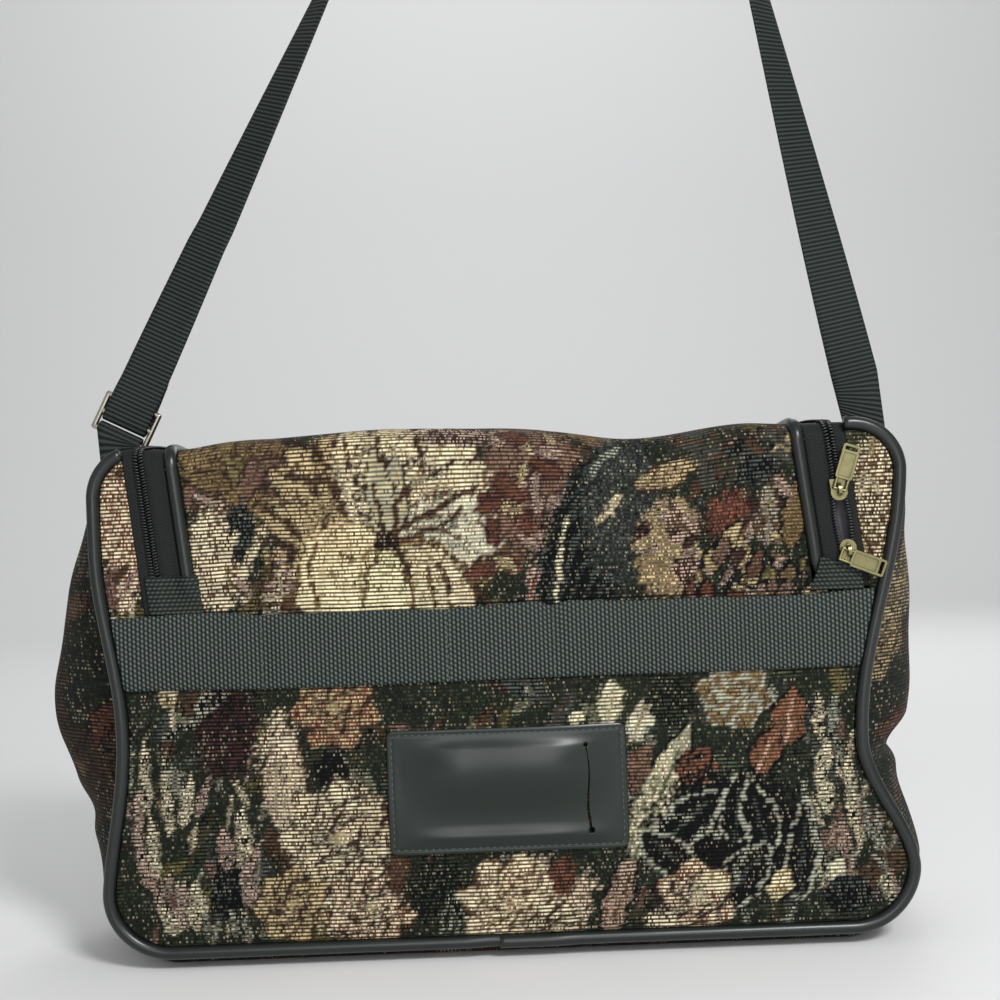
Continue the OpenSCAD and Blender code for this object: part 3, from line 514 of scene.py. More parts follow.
def webbing(name, code, lit_hump_code, rib_mm, dot_mm, dots):
    """Woven polypropylene webbing: ribs across it, each rib a row of rounded yarn humps, coloured from the
    first code in the grooves to the second on the humps as painted shade and highlight.
    """
    mat, t, s = new_material(name, Roughness=0.66, Specular_IOR_Level=0.2)
    across, along, _ = cut_uv(t, rib_mm, dot_mm)
    stagger = across.floor() * 0.5 + across.fract() * 0.3
    dot = (along + stagger).hump()
    height = across.hump() ** 2.0 * (1 - dots + dots * dot**2.2)
    # painted shade in the grooves and painted highlight on the humps, following the bump's height
    set_colour(t, s, blend(t, height, code, lit_hump_code))
    set_bump(t, s, height, 0.6, 0.9)
    return mat


def zip_tape():
    """Polyester zip tape, woven herringbone: fine slanted ridges that turn back every 5 mm."""
    mat, t, s = new_material("herringbone_polyester_tape", Roughness=0.75, Specular_IOR_Level=0.25)
    across, along, _ = cut_uv(t, 9.6, 1.7)
    ridge = (along + (across.fract() - 0.5).abs() * 6.5).hump()
    # painted shade in the herringbone's grooves and painted highlight on its ridges
    set_colour(t, s, blend(t, ridge, "070808", "1e201f"))
    set_bump(t, s, ridge, 0.3, 0.8)
    return mat


def vinyl(name, code, rough, grain_mm, grain_deep):
    """Soft plasticised vinyl: an even colour with a satin sheen and a fine leather grain."""
    mat, t, s = new_material(name, Roughness=rough, Specular_IOR_Level=0.5, Base_Color=[*rgb(code), 1])
    set_bump(t, s, grain(t, "ShaderNodeTexVoronoi", grain_mm), grain_deep, 0.5)
    return mat


def plain(name, code, rough, metallic=0.0, worn=None, worn_mm=4.0):
    """Solid material; a second colour, if given, is rubbed in over patches of that size."""
    mat, t, s = new_material(name, Roughness=rough, Metallic=metallic, Base_Color=[*rgb(code), 1])
    if worn:
        set_colour(t, s, blend(t, grain(t, "ShaderNodeTexNoise", worn_mm, in_Detail=3.0), code, worn))
    return mat


def brass():
    """Antiqued brass casting: pale greenish metal, rubbed bright on rims and dulled brown in hollows."""
    mat, t, s = new_material("antiqued_brass", Metallic=1.0, Roughness=0.3)
    bare = Wire(t, node(t, "ShaderNodeAmbientOcclusion", in_Distance=0.0016, samples=8).outputs["AO"])
    cloud = Wire(t, grain(t, "ShaderNodeTexNoise", 1000 / 380, in_Detail=3.0))
    set_colour(t, s, blend(t, bare**2.2 * (0.62 + 0.6 * cloud), "2c2917", "948e68"))
    set_bump(t, s, cloud, 0.08, 0.5)
    return mat


TAPESTRY = tapestry()
# webbings: a near-black colour as painted shade in the grooves, a paler colour as painted highlight on the
# humps
BAND_WEB = webbing("grey_green_band_webbing", "070908", "67726c", 2.05, 2.5, 0.85)
TAB_WEB = webbing("dark_tab_webbing", "070908", "48524c", 2.1, 2.5, 0.75)
STRAP_WEB = webbing("dark_strap_webbing", "060807", "343c38", 2.25, 1.6, 0.12)
TAPE = zip_tape()
WELT_VINYL = vinyl("grey_green_welt_vinyl", "141a18", 0.32, 0.5, 0.012)
HOLDER_VINYL = vinyl("dark_green_holder_vinyl", "0f1a15", 0.34, 0.45, 0.02)
# Nylon coil: near-black, slightly shiny, so each turn shows as a small highlight
COIL_NYLON = plain("black_nylon_coil", "17181a", 0.38)
BRASS = brass()
# Nickel-plated zinc casting with a little tarnish
NICKEL = plain("nickel_plated_zinc", "b9b4a6", 0.28, 1.0, "8d877a", 6.0)
# Polyester sewing thread
THREAD = plain("grey_green_thread", "46544d", 0.7)
# Pressed fibreboard, bare
BOARD = plain("grey_fibreboard", "6d6353", 0.9)
# Grey lining strip, a plain weave dulled by wear
LINING = plain("grey_lining", "56565c", 0.85, 0.0, "3c3c40", 3.0)
# Matt white paper: a plain pale ground that keeps the bag's soft shadow
PAPER = plain("matt_white_paper", "e6e6e7", 0.95)


def dress(obj, mat, nodes, body="bag"):
    obj.data.materials.clear()
    obj.data.materials.append(mat)
    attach(obj, body)
    if nodes:
        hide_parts(*nodes)
    return obj


# The woven picture
YARNS = {
    "ground": "131614", "night": "0b0e0d", "moss": "353b2c", "green": "4a5440", "sage": "83866c",
    "cream": "dcd1b0", "straw": "c0ae84", "ivory": "e8dcb4", "pink": "bca493", "rose": "7f665a",
    "rust": "764a39", "orange": "8e5e45", "gold": "86734e", "olive": "6c663f", "brown": "594431",
    "bark": "382b22", "maroon": "3d2725", "silver": "a3a492", "slate": "4a4f4a",
}
PALETTE = {k: np.array(rgb(v)) for k, v in YARNS.items()}


class Weave:
    """Two yarn colours and their share at each point of a cut, drawn over with simple shapes.
    Shapes are placed in half millimetres on a drawing that lies a little tilted on the cloth."""

    TILT = 0.0384

    def __init__(self, uv, a, b, part):
        across, up = 2 * uv[:, 0], 2 * (uv[:, 1] - 5)
        x = 514 + across - self.TILT * up
        y = 947 - up - self.TILT * across
        self.x = x + 2.2 * ripple(x, y, 41, 26)
        self.y = y + 2.2 * ripple(x, y, 42, 26)
        rng = np.random.default_rng(40)
        self.luck = rng.uniform(0, 1, len(uv))
        self.a = np.tile(PALETTE[a], (len(uv), 1))
        self.b = np.tile(PALETTE[b], (len(uv), 1))
        self.part = np.full(len(uv), float(part))

    def lay(self, where, a, b, part):
        self.a[where] = PALETTE[a]
        self.b[where] = PALETTE[b]
        self.part[where] = part[where] if isinstance(part, np.ndarray) else part

    def wash(self, x, y, rx, ry, a, b, part=0.6, turn=0):
        """A field of colour that frays out at its edge."""
        c, s = math.cos(math.radians(turn)), math.sin(math.radians(turn))
        p, q = (self.x - x) * c + (self.y - y) * s, (self.y - y) * c - (self.x - x) * s
        d = np.hypot(p / rx, q / ry)
        self.lay(d < 0.72 + 0.36 * self.luck, a, b, part)

    def petal(self, x0, y0, x1, y1, wide, a, b, part=0.75, line=None, vein=None, hatch=None, rough=0.16):
        """A leaf or petal from its base to its tip: outline, midrib, and shading strokes that fan out."""
        long = math.hypot(x1 - x0, y1 - y0)
        c, s = (x1 - x0) / long, (y1 - y0) / long
        p, q = (self.x - x0) * c + (self.y - y0) * s, (self.y - y0) * c - (self.x - x0) * s
        t = share(p / long)
        half = wide / 2 * np.sin(np.pi * t**0.8) ** 0.75 * (0.86 + 0.28 * self.luck)
        inside = (p > 0) & (p < long)
        body = inside & (np.abs(q) < half)
        if line:
            self.lay(inside & (np.abs(q) < half + 3.4) & (self.luck < 0.92), line, line, 1.0)
        self.lay(body, a, b, share(part + 0.3 * (t - 0.5)))
        if hatch:
            fan = np.abs((q / np.maximum(half, 1) * 3.2 + 0.5) % 1 - 0.5) < rough
            self.lay(body & fan & (t < 0.46 + rough), hatch, a, 0.7)
        if vein:
            self.lay(body & (np.abs(q) < 2.0) & (t < 0.8), vein, a, 0.8)

    def sprigs(self, *rows):
        """Small upright leaves on the dark ground, hatched with it."""
        for x0, y0, x1, y1, wide, a in rows:
            self.petal(x0, y0, x1, y1, 0.85 * wide, a, "night", 0.6, None, None, "night", 0.26)

    def bloom(self, x, y, r, count, turn, a, b, line, heart, part=0.7):
        """Rings of petals with a heart on top."""
        for ring, size in ((0, 1.0), (0.5, 0.7), (0.25, 0.42)):
            for k in range(count):
                g = math.radians(turn + (k + ring) * 360 / count)
                self.petal(x, y, x + r * size * math.cos(g), y + r * size * math.sin(g), r * size * 5.4 / count,
                           a, b, part, line, None, line)
        self.wash(x, y, r * 0.17, r * 0.15, heart, a, 0.7)

    def curl(self, points, wide, a, b, part=0.7):
        """A bent stroke along a run of points."""
        path, _ = even(points, 3.0)
        low, high = path.min(0) - wide, path.max(0) + wide
        near = np.nonzero((self.x > low[0]) & (self.x < high[0]) & (self.y > low[1]) & (self.y < high[1]))[0]
        if not len(near):
            return
        dx, dy = self.x[near, None] - path[None, :, 0], self.y[near, None] - path[None, :, 1]
        d = np.min(np.hypot(dx, dy), axis=1)
        hit = np.zeros(len(self.x), bool)
        hit[near[d < wide * (0.28 + 0.44 * self.luck[near])]] = True
        self.lay(hit, a, b, part)

    def strew(self, seed, count, box, sizes, pairs, line=None, curls=False, lean=(0, 360), slim=1.0):
        """Small leaves, or small curls, strewn over a box, at any angle or within a lean."""
        rng = np.random.default_rng(seed)
        for _ in range(count):
            x, y = rng.uniform(box[0], box[2]), rng.uniform(box[1], box[3])
            a, b = pairs[rng.integers(len(pairs))]
            long, g, part = rng.uniform(*sizes), math.radians(rng.uniform(*lean)), rng.uniform(0.45, 0.8)
            if curls:
                bend = g + rng.uniform(-1.2, 1.2)
                half = long / 2
                mid = (x + half * math.cos(g), y + half * math.sin(g))
                tip = (mid[0] + half * math.cos(bend), mid[1] + half * math.sin(bend))
                self.curl([(x, y), mid, tip], rng.uniform(8, 14), a, b, part)
            else:
                wide = slim * long * rng.uniform(0.3, 0.5)
                hatch = "bark" if rng.uniform() < 0.5 else None
                tip = (x + long * math.cos(g), y + long * math.sin(g))
                self.petal(x, y, *tip, wide, a, b, part, line, "bark", hatch)

    def tones(self):
        """Both yarns, shaded by slow wandering in depth and warmth as the dye lots and floats vary."""
        depth = 1 + 0.2 * ripple(self.x, self.y, 43, 34) + 0.14 * ripple(self.x, self.y, 44, 13)
        warm = 0.3 * share(ripple(self.x, self.y, 45, 60))[:, None]
        part = share(self.part + 0.16 * ripple(self.x, self.y * 0.6, 46, 15))
        a = mix(self.a, self.a * [1.0, 0.82, 0.66], warm) * depth[:, None]
        b = mix(self.b, self.b * [1.1, 0.9, 0.8], warm) * depth[:, None]
        bright = mix(self.b, self.a, part[:, None]) @ np.array([0.3, 0.6, 0.1])
        fleck = (1 - share(bright / 0.06)) * (0.06 + 0.28 * share(0.5 + 0.9 * ripple(self.x, self.y, 47, 40)))
        return np.hstack([a, part[:, None]]), np.hstack([b, fleck[:, None]])


def pairs(text):
    """Yarn pairs from words such as gold/brown."""
    return [tuple(word.split("/")) for word in text.split()]


DARKS = pairs("moss/night brown/ground green/night olive/ground slate/ground maroon/ground")
WARMS = pairs("gold/brown rust/bark olive/gold brown/rust rose/brown")
UPRIGHT = pairs("cream/night pink/night silver/night rose/night")
PALES = pairs("cream/brown straw/brown pink/bark silver/ground")


def front_picture(uv):
    """Lid and front as one cloth: a large pale bloom above the band, roses and dark leaves below it."""
    w = Weave(uv, "ground", "moss", 0.75)
    w.strew(11, 120, (90, 400, 930, 960), (30, 80), DARKS)
    w.strew(17, 90, (90, 260, 930, 620), (30, 70), DARKS + WARMS)
    # left of the bloom: leaves, then pale strokes
    w.wash(235, 470, 60, 50, "brown", "gold", 0.5)
    w.strew(12, 22, (190, 430, 280, 500), (26, 48), pairs("gold/brown pink/bark olive/gold rose/brown"), "bark")
    w.wash(215, 560, 36, 60, "cream", "brown", 0.62)
    w.wash(240, 530, 15, 34, "slate", "night", 0.55)
    for x, y, bend in ((192, 600, 6), (204, 590, 10), (222, 603, 14), (246, 600, 18)):
        w.curl([(x, y), (x - 2, y - 34), (x + bend, y - 70)], 8, "cream", "brown", 0.75)
    w.wash(285, 590, 30, 26, "maroon", "brown", 0.5)
    w.strew(18, 12, (250, 560, 320, 610), (20, 36), pairs("pink/bark cream/maroon gold/bark"))
    # the bloom
    w.wash(385, 520, 125, 92, "straw", "brown", 0.7)
    for x, y, wide in ((270, 470, 52), (258, 515, 50), (288, 450, 50), (318, 436, 54)):
        w.petal(372, 540, x, y, wide, "straw", "brown", 0.66, "bark", None, "brown")
    for x, y, wide in ((345, 412, 62), (395, 400, 66), (440, 412, 60), (478, 430, 58), (500, 462, 60)):
        w.petal(386, 540, x, y, wide, "cream", "gold", 0.72, "bark", None, "brown")
    for x, y, wide in ((508, 505, 62), (505, 540, 52), (494, 572, 50)):
        w.petal(390, 540, x, y, wide, "silver", "cream", 0.5, "brown", None, "bark")
    for x, y, wide in ((475, 604, 48), (448, 622, 46)):
        w.petal(392, 542, x, y, wide, "cream", "gold", 0.75, "brown")
    w.petal(380, 535, 300, 606, 84, "ivory", "gold", 0.8, "straw")
    w.petal(378, 545, 330, 640, 70, "ivory", "gold", 0.82, "straw")
    w.petal(386, 540, 390, 640, 52, "ivory", "olive", 0.85, "gold")
    w.petal(388, 540, 396, 462, 30, "silver", "straw", 0.6, "bark")
    w.petal(388, 540, 372, 450, 26, "straw", "silver", 0.7, "bark")
    for wide, *pts in (
        (5, (388, 540), (383, 522), (373, 484)), (5, (392, 536), (398, 510), (404, 484)),
        (6, (396, 532), (416, 516), (446, 502), (472, 484)), (5, (400, 538), (436, 527), (464, 506)),
        (8, (398, 548), (405, 562), (409, 578)), (8, (288, 476), (332, 484), (346, 510)),
        (7, (257, 502), (280, 516), (300, 538)), (5, (343, 440), (347, 466)), (5, (416, 436), (422, 472)),
        (5, (440, 562), (450, 590)), (5, (456, 556), (474, 580), (488, 604)),
        (6, (262, 536), (296, 552)), (6, (310, 452), (330, 470)), (5, (376, 440), (380, 466)),
    ):
        w.curl(pts, wide, "brown", "bark", 0.6)
    for pts in (
        ((404, 540), (440, 544), (474, 572)), ((409, 574), (416, 608)), ((382, 548), (370, 566), (364, 604)),
        ((318, 540), (308, 566), (318, 604)), ((300, 566), (296, 604)), ((340, 548), (352, 560)),
        ((428, 566), (436, 606)),
    ):
        w.curl(pts, 4.5, "gold", "brown", 0.45)
    w.wash(387, 541, 15, 10, "bark", "night", 0.7)
    # rust ground right of it, and the long dark leaf with its pale edge
    w.wash(530, 480, 52, 84, "rose", "brown", 0.6)
    w.wash(455, 436, 40, 16, "pink", "maroon", 0.55)
    reds = pairs("pink/brown pink/maroon rust/bark straw/bark")
    w.strew(13, 34, (490, 425, 575, 570), (22, 44), reds, "maroon")
    w.wash(545, 585, 20, 40, "pink", "rust", 0.6)
    w.petal(556, 640, 640, 400, 96, "ground", "night", 0.6, None, None, "slate")
    w.wash(620, 500, 44, 90, "ground", "slate", 0.7)
    w.curl([(556, 600), (562, 540), (566, 515)], 5, "ivory", "slate", 0.75)
    w.curl([(592, 466), (606, 446), (618, 436)], 6, "silver", "slate", 0.6)
    w.curl([(600, 516), (612, 500), (620, 488)], 9, "gold", "cream", 0.5)
    w.petal(634, 478, 706, 450, 22, "straw", "brown", 0.55, "bark", None, "brown")
    w.wash(668, 500, 36, 12, "night", "slate", 0.7)
    w.wash(668, 545, 36, 56, "brown", "straw", 0.72)
    w.wash(682, 520, 22, 24, "pink", "brown", 0.42)
    w.wash(684, 566, 14, 18, "pink", "maroon", 0.4)
    w.wash(730, 515, 26, 30, "maroon", "rust", 0.5)
    w.petal(704, 570, 742, 520, 18, "straw", "gold", 0.6, "night")
    w.petal(744, 572, 740, 532, 13, "straw", "gold", 0.6, "night")
    w.petal(768, 545, 766, 482, 24, "silver", "brown", 0.5, "bark", "brown")
    w.wash(748, 462, 34, 22, "slate", "night", 0.5)
    w.petal(776, 455, 796, 432, 20, "gold", "straw", 0.6, "night")
    w.petal(790, 545, 806, 470, 26, "gold", "brown", 0.6, "night", None, "bark", 0.24)
    w.strew(20, 26, (640, 480, 800, 570), (14, 30), pairs("pink/bark brown/night straw/bark maroon/night"))
    w.strew(14, 26, (690, 560, 812, 608), (18, 34), WARMS + PALES[1:3], "night")
    w.strew(19, 20, (690, 415, 800, 470), (20, 40), pairs("brown/bark moss/bark slate/bark"))
    # corner strips: pale, shaded brown
    w.wash(118, 540, 26, 90, "cream", "rust", 0.62)
    w.wash(112, 590, 12, 26, "maroon", "rose", 0.6)
    w.wash(876, 500, 30, 70, "cream", "brown", 0.5)
    w.strew(15, 9, (100, 470, 140, 600), (18, 34), pairs("pink/rust cream/rust brown/maroon"))
    w.strew(16, 12, (850, 440, 905, 560), (18, 36), pairs("straw/brown bark/brown cream/gold"))
    # below the band: small broken leaves all over, and on the left dark with pink curled leaves
    w.strew(23, 120, (120, 690, 900, 945), (16, 40),
            pairs("sage/night slate/night brown/night rose/night silver/night olive/night"))
    w.strew(21, 36, (124, 720, 262, 960), (22, 50), UPRIGHT, lean=(-118, -66), slim=0.45)
    w.strew(22, 28, (806, 710, 905, 925), (22, 50), UPRIGHT, lean=(-118, -66), slim=0.45)
    w.wash(225, 730, 36, 54, "maroon", "ground", 0.6)
    w.wash(228, 890, 18, 40, "slate", "night", 0.3)
    w.sprigs(
        (148, 815, 143, 735, 14, "cream"), (140, 855, 136, 800, 12, "pink"),
        (158, 882, 150, 815, 17, "cream"), (150, 888, 140, 848, 16, "pink"),
        (170, 835, 162, 752, 14, "cream"), (182, 828, 191, 772, 17, "cream"),
        (198, 818, 207, 776, 11, "pink"), (130, 790, 127, 735, 8, "silver"),
        (176, 938, 163, 902, 20, "cream"), (182, 934, 186, 878, 22, "pink"),
        (197, 932, 195, 880, 17, "cream"), (160, 908, 172, 868, 14, "pink"),
        (230, 872, 221, 828, 17, "pink"), (246, 858, 239, 806, 21, "cream"),
        (240, 884, 263, 838, 12, "pink"), (252, 910, 248, 868, 20, "pink"),
        (236, 938, 230, 906, 10, "silver"), (250, 942, 241, 908, 9, "silver"),
        (208, 942, 206, 914, 9, "silver"), (214, 868, 206, 836, 9, "slate"),
    )
    w.petal(168, 708, 168, 682, 18, "cream", "gold", 0.6)
    w.curl([(165, 738), (185, 728), (205, 712), (225, 697)], 6, "silver", "night", 0.5)
    w.curl([(192, 725), (202, 705), (212, 685)], 8, "silver", "night", 0.55)
    # gold flower and the pale rose under it
    w.bloom(335, 705, 46, 7, 15, "straw", "rust", "bark", "gold", 0.4)
    w.wash(280, 760, 24, 52, "cream", "brown", 0.6)
    w.petal(284, 830, 284, 720, 44, "cream", "rose", 0.6, "bark", None, "brown")
    w.wash(332, 770, 18, 20, "night", "ground", 0.7)
    w.wash(345, 860, 52, 84, "cream", "brown", 0.6)
    w.bloom(340, 838, 62, 8, 0, "cream", "brown", "bark", "gold", 0.62)
    w.bloom(292, 905, 40, 7, 20, "straw", "brown", "bark", "gold", 0.62)
    w.bloom(372, 908, 46, 7, 5, "cream", "rust", "bark", "gold", 0.58)
    w.wash(398, 872, 12, 26, "maroon", "brown", 0.55)
    # dark green ribs between the roses
    w.wash(440, 890, 38, 40, "moss", "night", 0.5)
    for k in range(4):
        w.curl([(438 + 8 * k, 945), (444 + 8 * k, 915), (452 + 8 * k, 888)], 3.6, "silver", "night", 0.6)
    w.wash(535, 905, 66, 52, "cream", "rose", 0.58)
    w.bloom(512, 905, 54, 8, 12, "ivory", "rose", "brown", "rust", 0.62)
    w.wash(562, 875, 16, 22, "rust", "bark", 0.6)
    w.bloom(556, 930, 30, 7, 40, "cream", "brown", "bark", "gold", 0.6)
    for x in (586, 600):
        w.curl([(x, 950), (x + 16, 905), (x + 34, 862)], 9, "night", "moss", 0.8)
    w.curl([(593, 950), (609, 905), (627, 862)], 4, "cream", "sage", 0.7)
    w.petal(606, 940, 632, 850, 24, "pink", "brown", 0.5, "night", None, "bark")
    # leaves right of the card holder
    w.petal(608, 722, 612, 678, 26, "cream", "sage", 0.75, "moss", "olive")
    w.petal(632, 740, 648, 696, 24, "cream", "silver", 0.7, "moss", "brown")
    w.petal(572, 722, 580, 708, 16, "ivory", "sage", 0.75)
    w.wash(670, 700, 26, 30, "moss", "night", 0.6)
    w.petal(632, 860, 690, 722, 42, "sage", "cream", 0.5, "night", "moss", "brown")
    w.petal(620, 790, 650, 740, 26, "rose", "brown", 0.55)
    w.bloom(734, 692, 38, 6, 10, "brown", "gold", "silver", "gold", 0.5)
    w.petal(786, 745, 794, 686, 34, "orange", "brown", 0.55, "night", "pink", "bark")
    w.petal(756, 772, 776, 728, 26, "orange", "brown", 0.5, "night", "pink", "bark")
    w.bloom(696, 766, 22, 6, 0, "rust", "brown", "night", "orange", 0.6)
    # black leaves with pale outlines, lower right
    w.wash(730, 835, 90, 70, "ground", "night", 0.6)
    for x0, y0, x1, y1, wide in ((655, 850, 720, 790, 40), (735, 840, 742, 772, 34), (770, 850, 748, 780, 30),
                                 (690, 872, 640, 830, 34), (720, 905, 770, 842, 38), (800, 900, 806, 800, 26)):
        w.petal(x0, y0, x1, y1, wide, "ground", "night", 0.6, "silver", "slate")
    for pts in (((735, 880), (745, 850), (765, 848), (772, 870)), ((690, 840), (705, 826), (718, 836)),
                ((742, 905), (750, 930), (780, 925), (796, 905)), ((660, 830), (668, 812), (690, 818))):
        w.curl(pts, 5.5, "silver", "night", 0.65)
    w.bloom(696, 898, 42, 6, 24, "cream", "rust", "bark", "gold", 0.5)
    w.wash(715, 880, 20, 12, "cream", "gold", 0.75)
    w.wash(662, 922, 18, 16, "cream", "bark", 0.6)
    w.petal(774, 900, 788, 868, 24, "ivory", "gold", 0.7, "night")
    w.petal(832, 880, 844, 856, 18, "ivory", "silver", 0.7, "night")
    w.sprigs(
        (822, 742, 817, 688, 14, "cream"), (832, 737, 835, 688, 10, "silver"),
        (826, 772, 827, 744, 17, "cream"), (828, 814, 821, 766, 19, "cream"),
        (843, 764, 836, 734, 12, "silver"), (854, 832, 848, 744, 13, "cream"),
        (846, 858, 842, 812, 15, "pink"), (859, 852, 852, 788, 10, "cream"),
        (868, 842, 866, 798, 9, "silver"), (881, 852, 876, 810, 14, "silver"),
        (892, 874, 870, 854, 8, "silver"), (901, 894, 884, 864, 10, "pink"),
        (893, 908, 888, 878, 13, "cream"), (806, 734, 812, 690, 9, "slate"),
    )
    w.curl([(803, 780), (806, 800), (813, 830), (822, 860), (820, 888)], 4, "silver", "night", 0.6)
    w.curl([(812, 820), (822, 845), (825, 872)], 4, "silver", "night", 0.6)
    w.wash(850, 895, 30, 22, "slate", "night", 0.35)
    return w.tones()


def side_picture(uv, blooms=PALES + WARMS, rich=1.0):
    """Gusset, back and rim: the same cloth cut elsewhere, strewn blooms and leaves on the dark ground."""
    w = Weave(uv, "ground", "moss", 0.75)
    low = (w.x.min(), w.y.min())
    high = (w.x.max(), w.y.max())
    area = (high[0] - low[0]) * (high[1] - low[1])
    box = (*low, *high)
    w.strew(31, int(area / 2400), box, (30, 80), DARKS + WARMS[:2])
    rng = np.random.default_rng(32)
    for _ in range(int(rich * area / 26000)):
        x, y = rng.uniform(low[0], high[0]), rng.uniform(low[1], high[1])
        a, b = blooms[rng.integers(len(blooms))]
        r, count, turn = rng.uniform(30, 66), int(rng.integers(6, 9)), rng.uniform(0, 60)
        w.bloom(x, y, r, count, turn, a, b, "bark", "gold", 0.58)
    w.strew(33, int(area / 14000), box, (26, 60), blooms, "night")
    w.strew(34, int(area / 14000), box, (22, 50), pairs("rose/night straw/night silver/night"), curls=True)
    return w.tones()


# Tapestry pieces
def front_cloth():
    step = 1.5
    rows = np.arange(BASE_Z + SEAM, BAND_TOP, step)
    corner = BASE_Z + SEAM + (LOW_R - SEAM) * (1 - np.cos(np.linspace(0, np.pi / 2, 26)))
    rows = np.concatenate([corner, rows[rows > corner[-1] + 0.5], [BAND_TOP]])
    z = rows[:, None]
    t = np.linspace(0, 1, 262)[None]
    x = mix(edge_x(-1, z, SEAM), edge_x(1, z, SEAM), t)
    z = np.broadcast_to(z, x.shape)
    patches = [(on_front(x, z, 0), on_front(x, z, -CLOTH), np.stack([x, z], -1), False)]
    for side, low, top in ((-1, ZIP_L_LOW, ZIP_L_TOP), (1, ZIP_R_LOW, ZIP_R_TOP)):
        high = TOP_Z - TOP_R + (TOP_R - SEAM) * np.sin(np.linspace(0, np.pi / 2 * 0.93, 22))
        z = np.concatenate([np.arange(BAND_TOP, high[0] - 0.5, step), high])[:, None]
        inner = leg_u(low, top, z - BAND_TOP) + side * (TAPE_BODY + GAP)
        outer = edge_x(side, z, SEAM)
        outer = np.minimum(outer, inner - 0.6) if side < 0 else np.maximum(outer, inner + 0.6)
        t = np.linspace(0, 1, 20)[None]
        x = mix(outer, inner, t) if side < 0 else mix(inner, outer, t)
        z = np.broadcast_to(z, x.shape)
        patches.append((on_front(x, z, 0), on_front(x, z, -CLOTH), np.stack([x, z], -1), False))
    return sheet_object("front_cloth", patches, front_picture)


def lid_edge(side, s):
    r = ZIP_CORNER - LID_OFF
    over = share((s - ZIP_BACK + ZIP_CORNER) / r)
    leg = leg_u(ZIP_L_LOW, ZIP_L_TOP, s) if side < 0 else leg_u(ZIP_R_LOW, ZIP_R_TOP, s)
    return leg - side * (LID_OFF + r * (1 - np.sqrt(1 - over**2)))


def lid_cloth():
    r = ZIP_CORNER - LID_OFF
    end = ZIP_BACK - ZIP_CORNER + r * np.sin(np.linspace(0, np.pi / 2, 14))
    s = np.concatenate([np.arange(GAP, end[0] - 0.5, 1.5), end])[:, None]
    u = mix(lid_edge(-1, s), lid_edge(1, s), np.linspace(0, 1, 210)[None])
    s = np.broadcast_to(s, u.shape)
    uv = np.stack([u, s + BAND_TOP], -1)
    # the fold at the front stands a little proud of the lid's welt behind it
    proud = 5.0 * bump((u + 50) / 115) + 2.5 * bump((u - 105) / 50) + 1.5 * bump((u + 138) / 30)
    proud = proud * smooth(LID_FRONT - 26, LID_FRONT, s)
    lift = np.stack([0 * u, 0 * u, proud * (1 - smooth(LID_FRONT + 25, LID_FRONT + 60, s))], -1)
    patch = (on_lid(u, s, 0) + lift, on_lid(u, s, -CLOTH) + lift, uv, False)
    return sheet_object("lid_cloth", [patch], front_picture)


def gusset_cloth():
    front, run = even(zip_to_zip(1), 1.9)
    back, _ = even(zip_to_zip(BACK_WAIST), 1.9)
    at = np.linspace(0, 1, len(back))
    back = np.stack([np.interp(np.linspace(0, 1, len(front)), at, back[:, k]) for k in (0, 1)], 1)
    out = outward(front)[:, None]
    w = np.linspace(0, 1, 58)[None, :, None]
    p = mix(front[:, None], back[:, None], w)
    deep = w[..., 0] * (DEPTH - 2 * SEAM)
    along = np.broadcast_to(run[:, None], p.shape[:2])
    deep = np.broadcast_to(deep, p.shape[:2])
    end = np.abs(out[..., 0]) ** 2
    loose = arch(w[..., 0]) * end
    right = (p[..., 0] > 0) * loose
    slack = 1.6 * ripple(along, deep * 0.6, 51, 60) * loose + 0.5 * ripple(along, deep, 52, 26) * loose
    slack = slack - 9 * bump((p[..., 1] - 96 - 0.12 * (deep - 50)) / 15) * right
    slack = slack - 4 * bump((p[..., 1] - 72 + 0.3 * (deep - 50)) / 16) * loose * (p[..., 0] < 0)

    def at_depth(n):
        q = p + gusset_out(p, np.broadcast_to(out, p.shape), w[..., 0]) + out * (n + slack)[..., None]
        return np.stack([q[..., 0], FACE + SEAM + deep, q[..., 1]], -1)

    def picture(uv):
        """The cut falls between the blooms at the left end, and across warm flowers at the right end; the whole
        gusset is darkened as painted shade, the left half more than the right.
        """
        dark = side_picture(uv, pairs("brown/night moss/night rust/night slate/night"))
        warm = side_picture(uv, pairs("rust/bark straw/bark brown/night rust/night"), 1.6)
        right = ((uv[:, 1] > run[-1] / 2) == (front[-1, 0] > 0))[:, None]
        # painted shade: colours of the right half at 0.76, of the left half at 0.62
        painted_end_shade = np.where(right, 0.76, 0.62) * [1, 1, 1, 0] + [0, 0, 0, 1]
        return [np.where(right, w, d) * painted_end_shade for w, d in zip(warm, dark)]

    uv = np.stack([deep, along], -1)
    return sheet_object("gusset_cloth", [(at_depth(0.0), at_depth(-CLOTH), uv, False)], picture)


def rim_cloth():
    r = ZIP_CORNER + TAPE_BODY + GAP
    left, right = LEFT_STOP, RIGHT_STOP
    turn = r * (1 - np.cos(np.linspace(0, np.pi / 2, 24)))
    u = np.concatenate([left + turn, np.arange(left + r + 2, right - r - 1, 2.0), (right - turn)[::-1]])[None]
    over = share(np.maximum(left + r - u, u - right + r) / r)
    near = ZIP_BACK - ZIP_CORNER + r * np.sqrt(1 - over**2)
    s = mix(near, LID_FULL - SEAM, np.linspace(0, 1, 14)[:, None])
    u = np.broadcast_to(u, s.shape)
    patch = (on_lid(u, s, 0), on_lid(u, s, -CLOTH), np.stack([u, s], -1), False)
    return sheet_object("rim_cloth", [patch], side_picture)


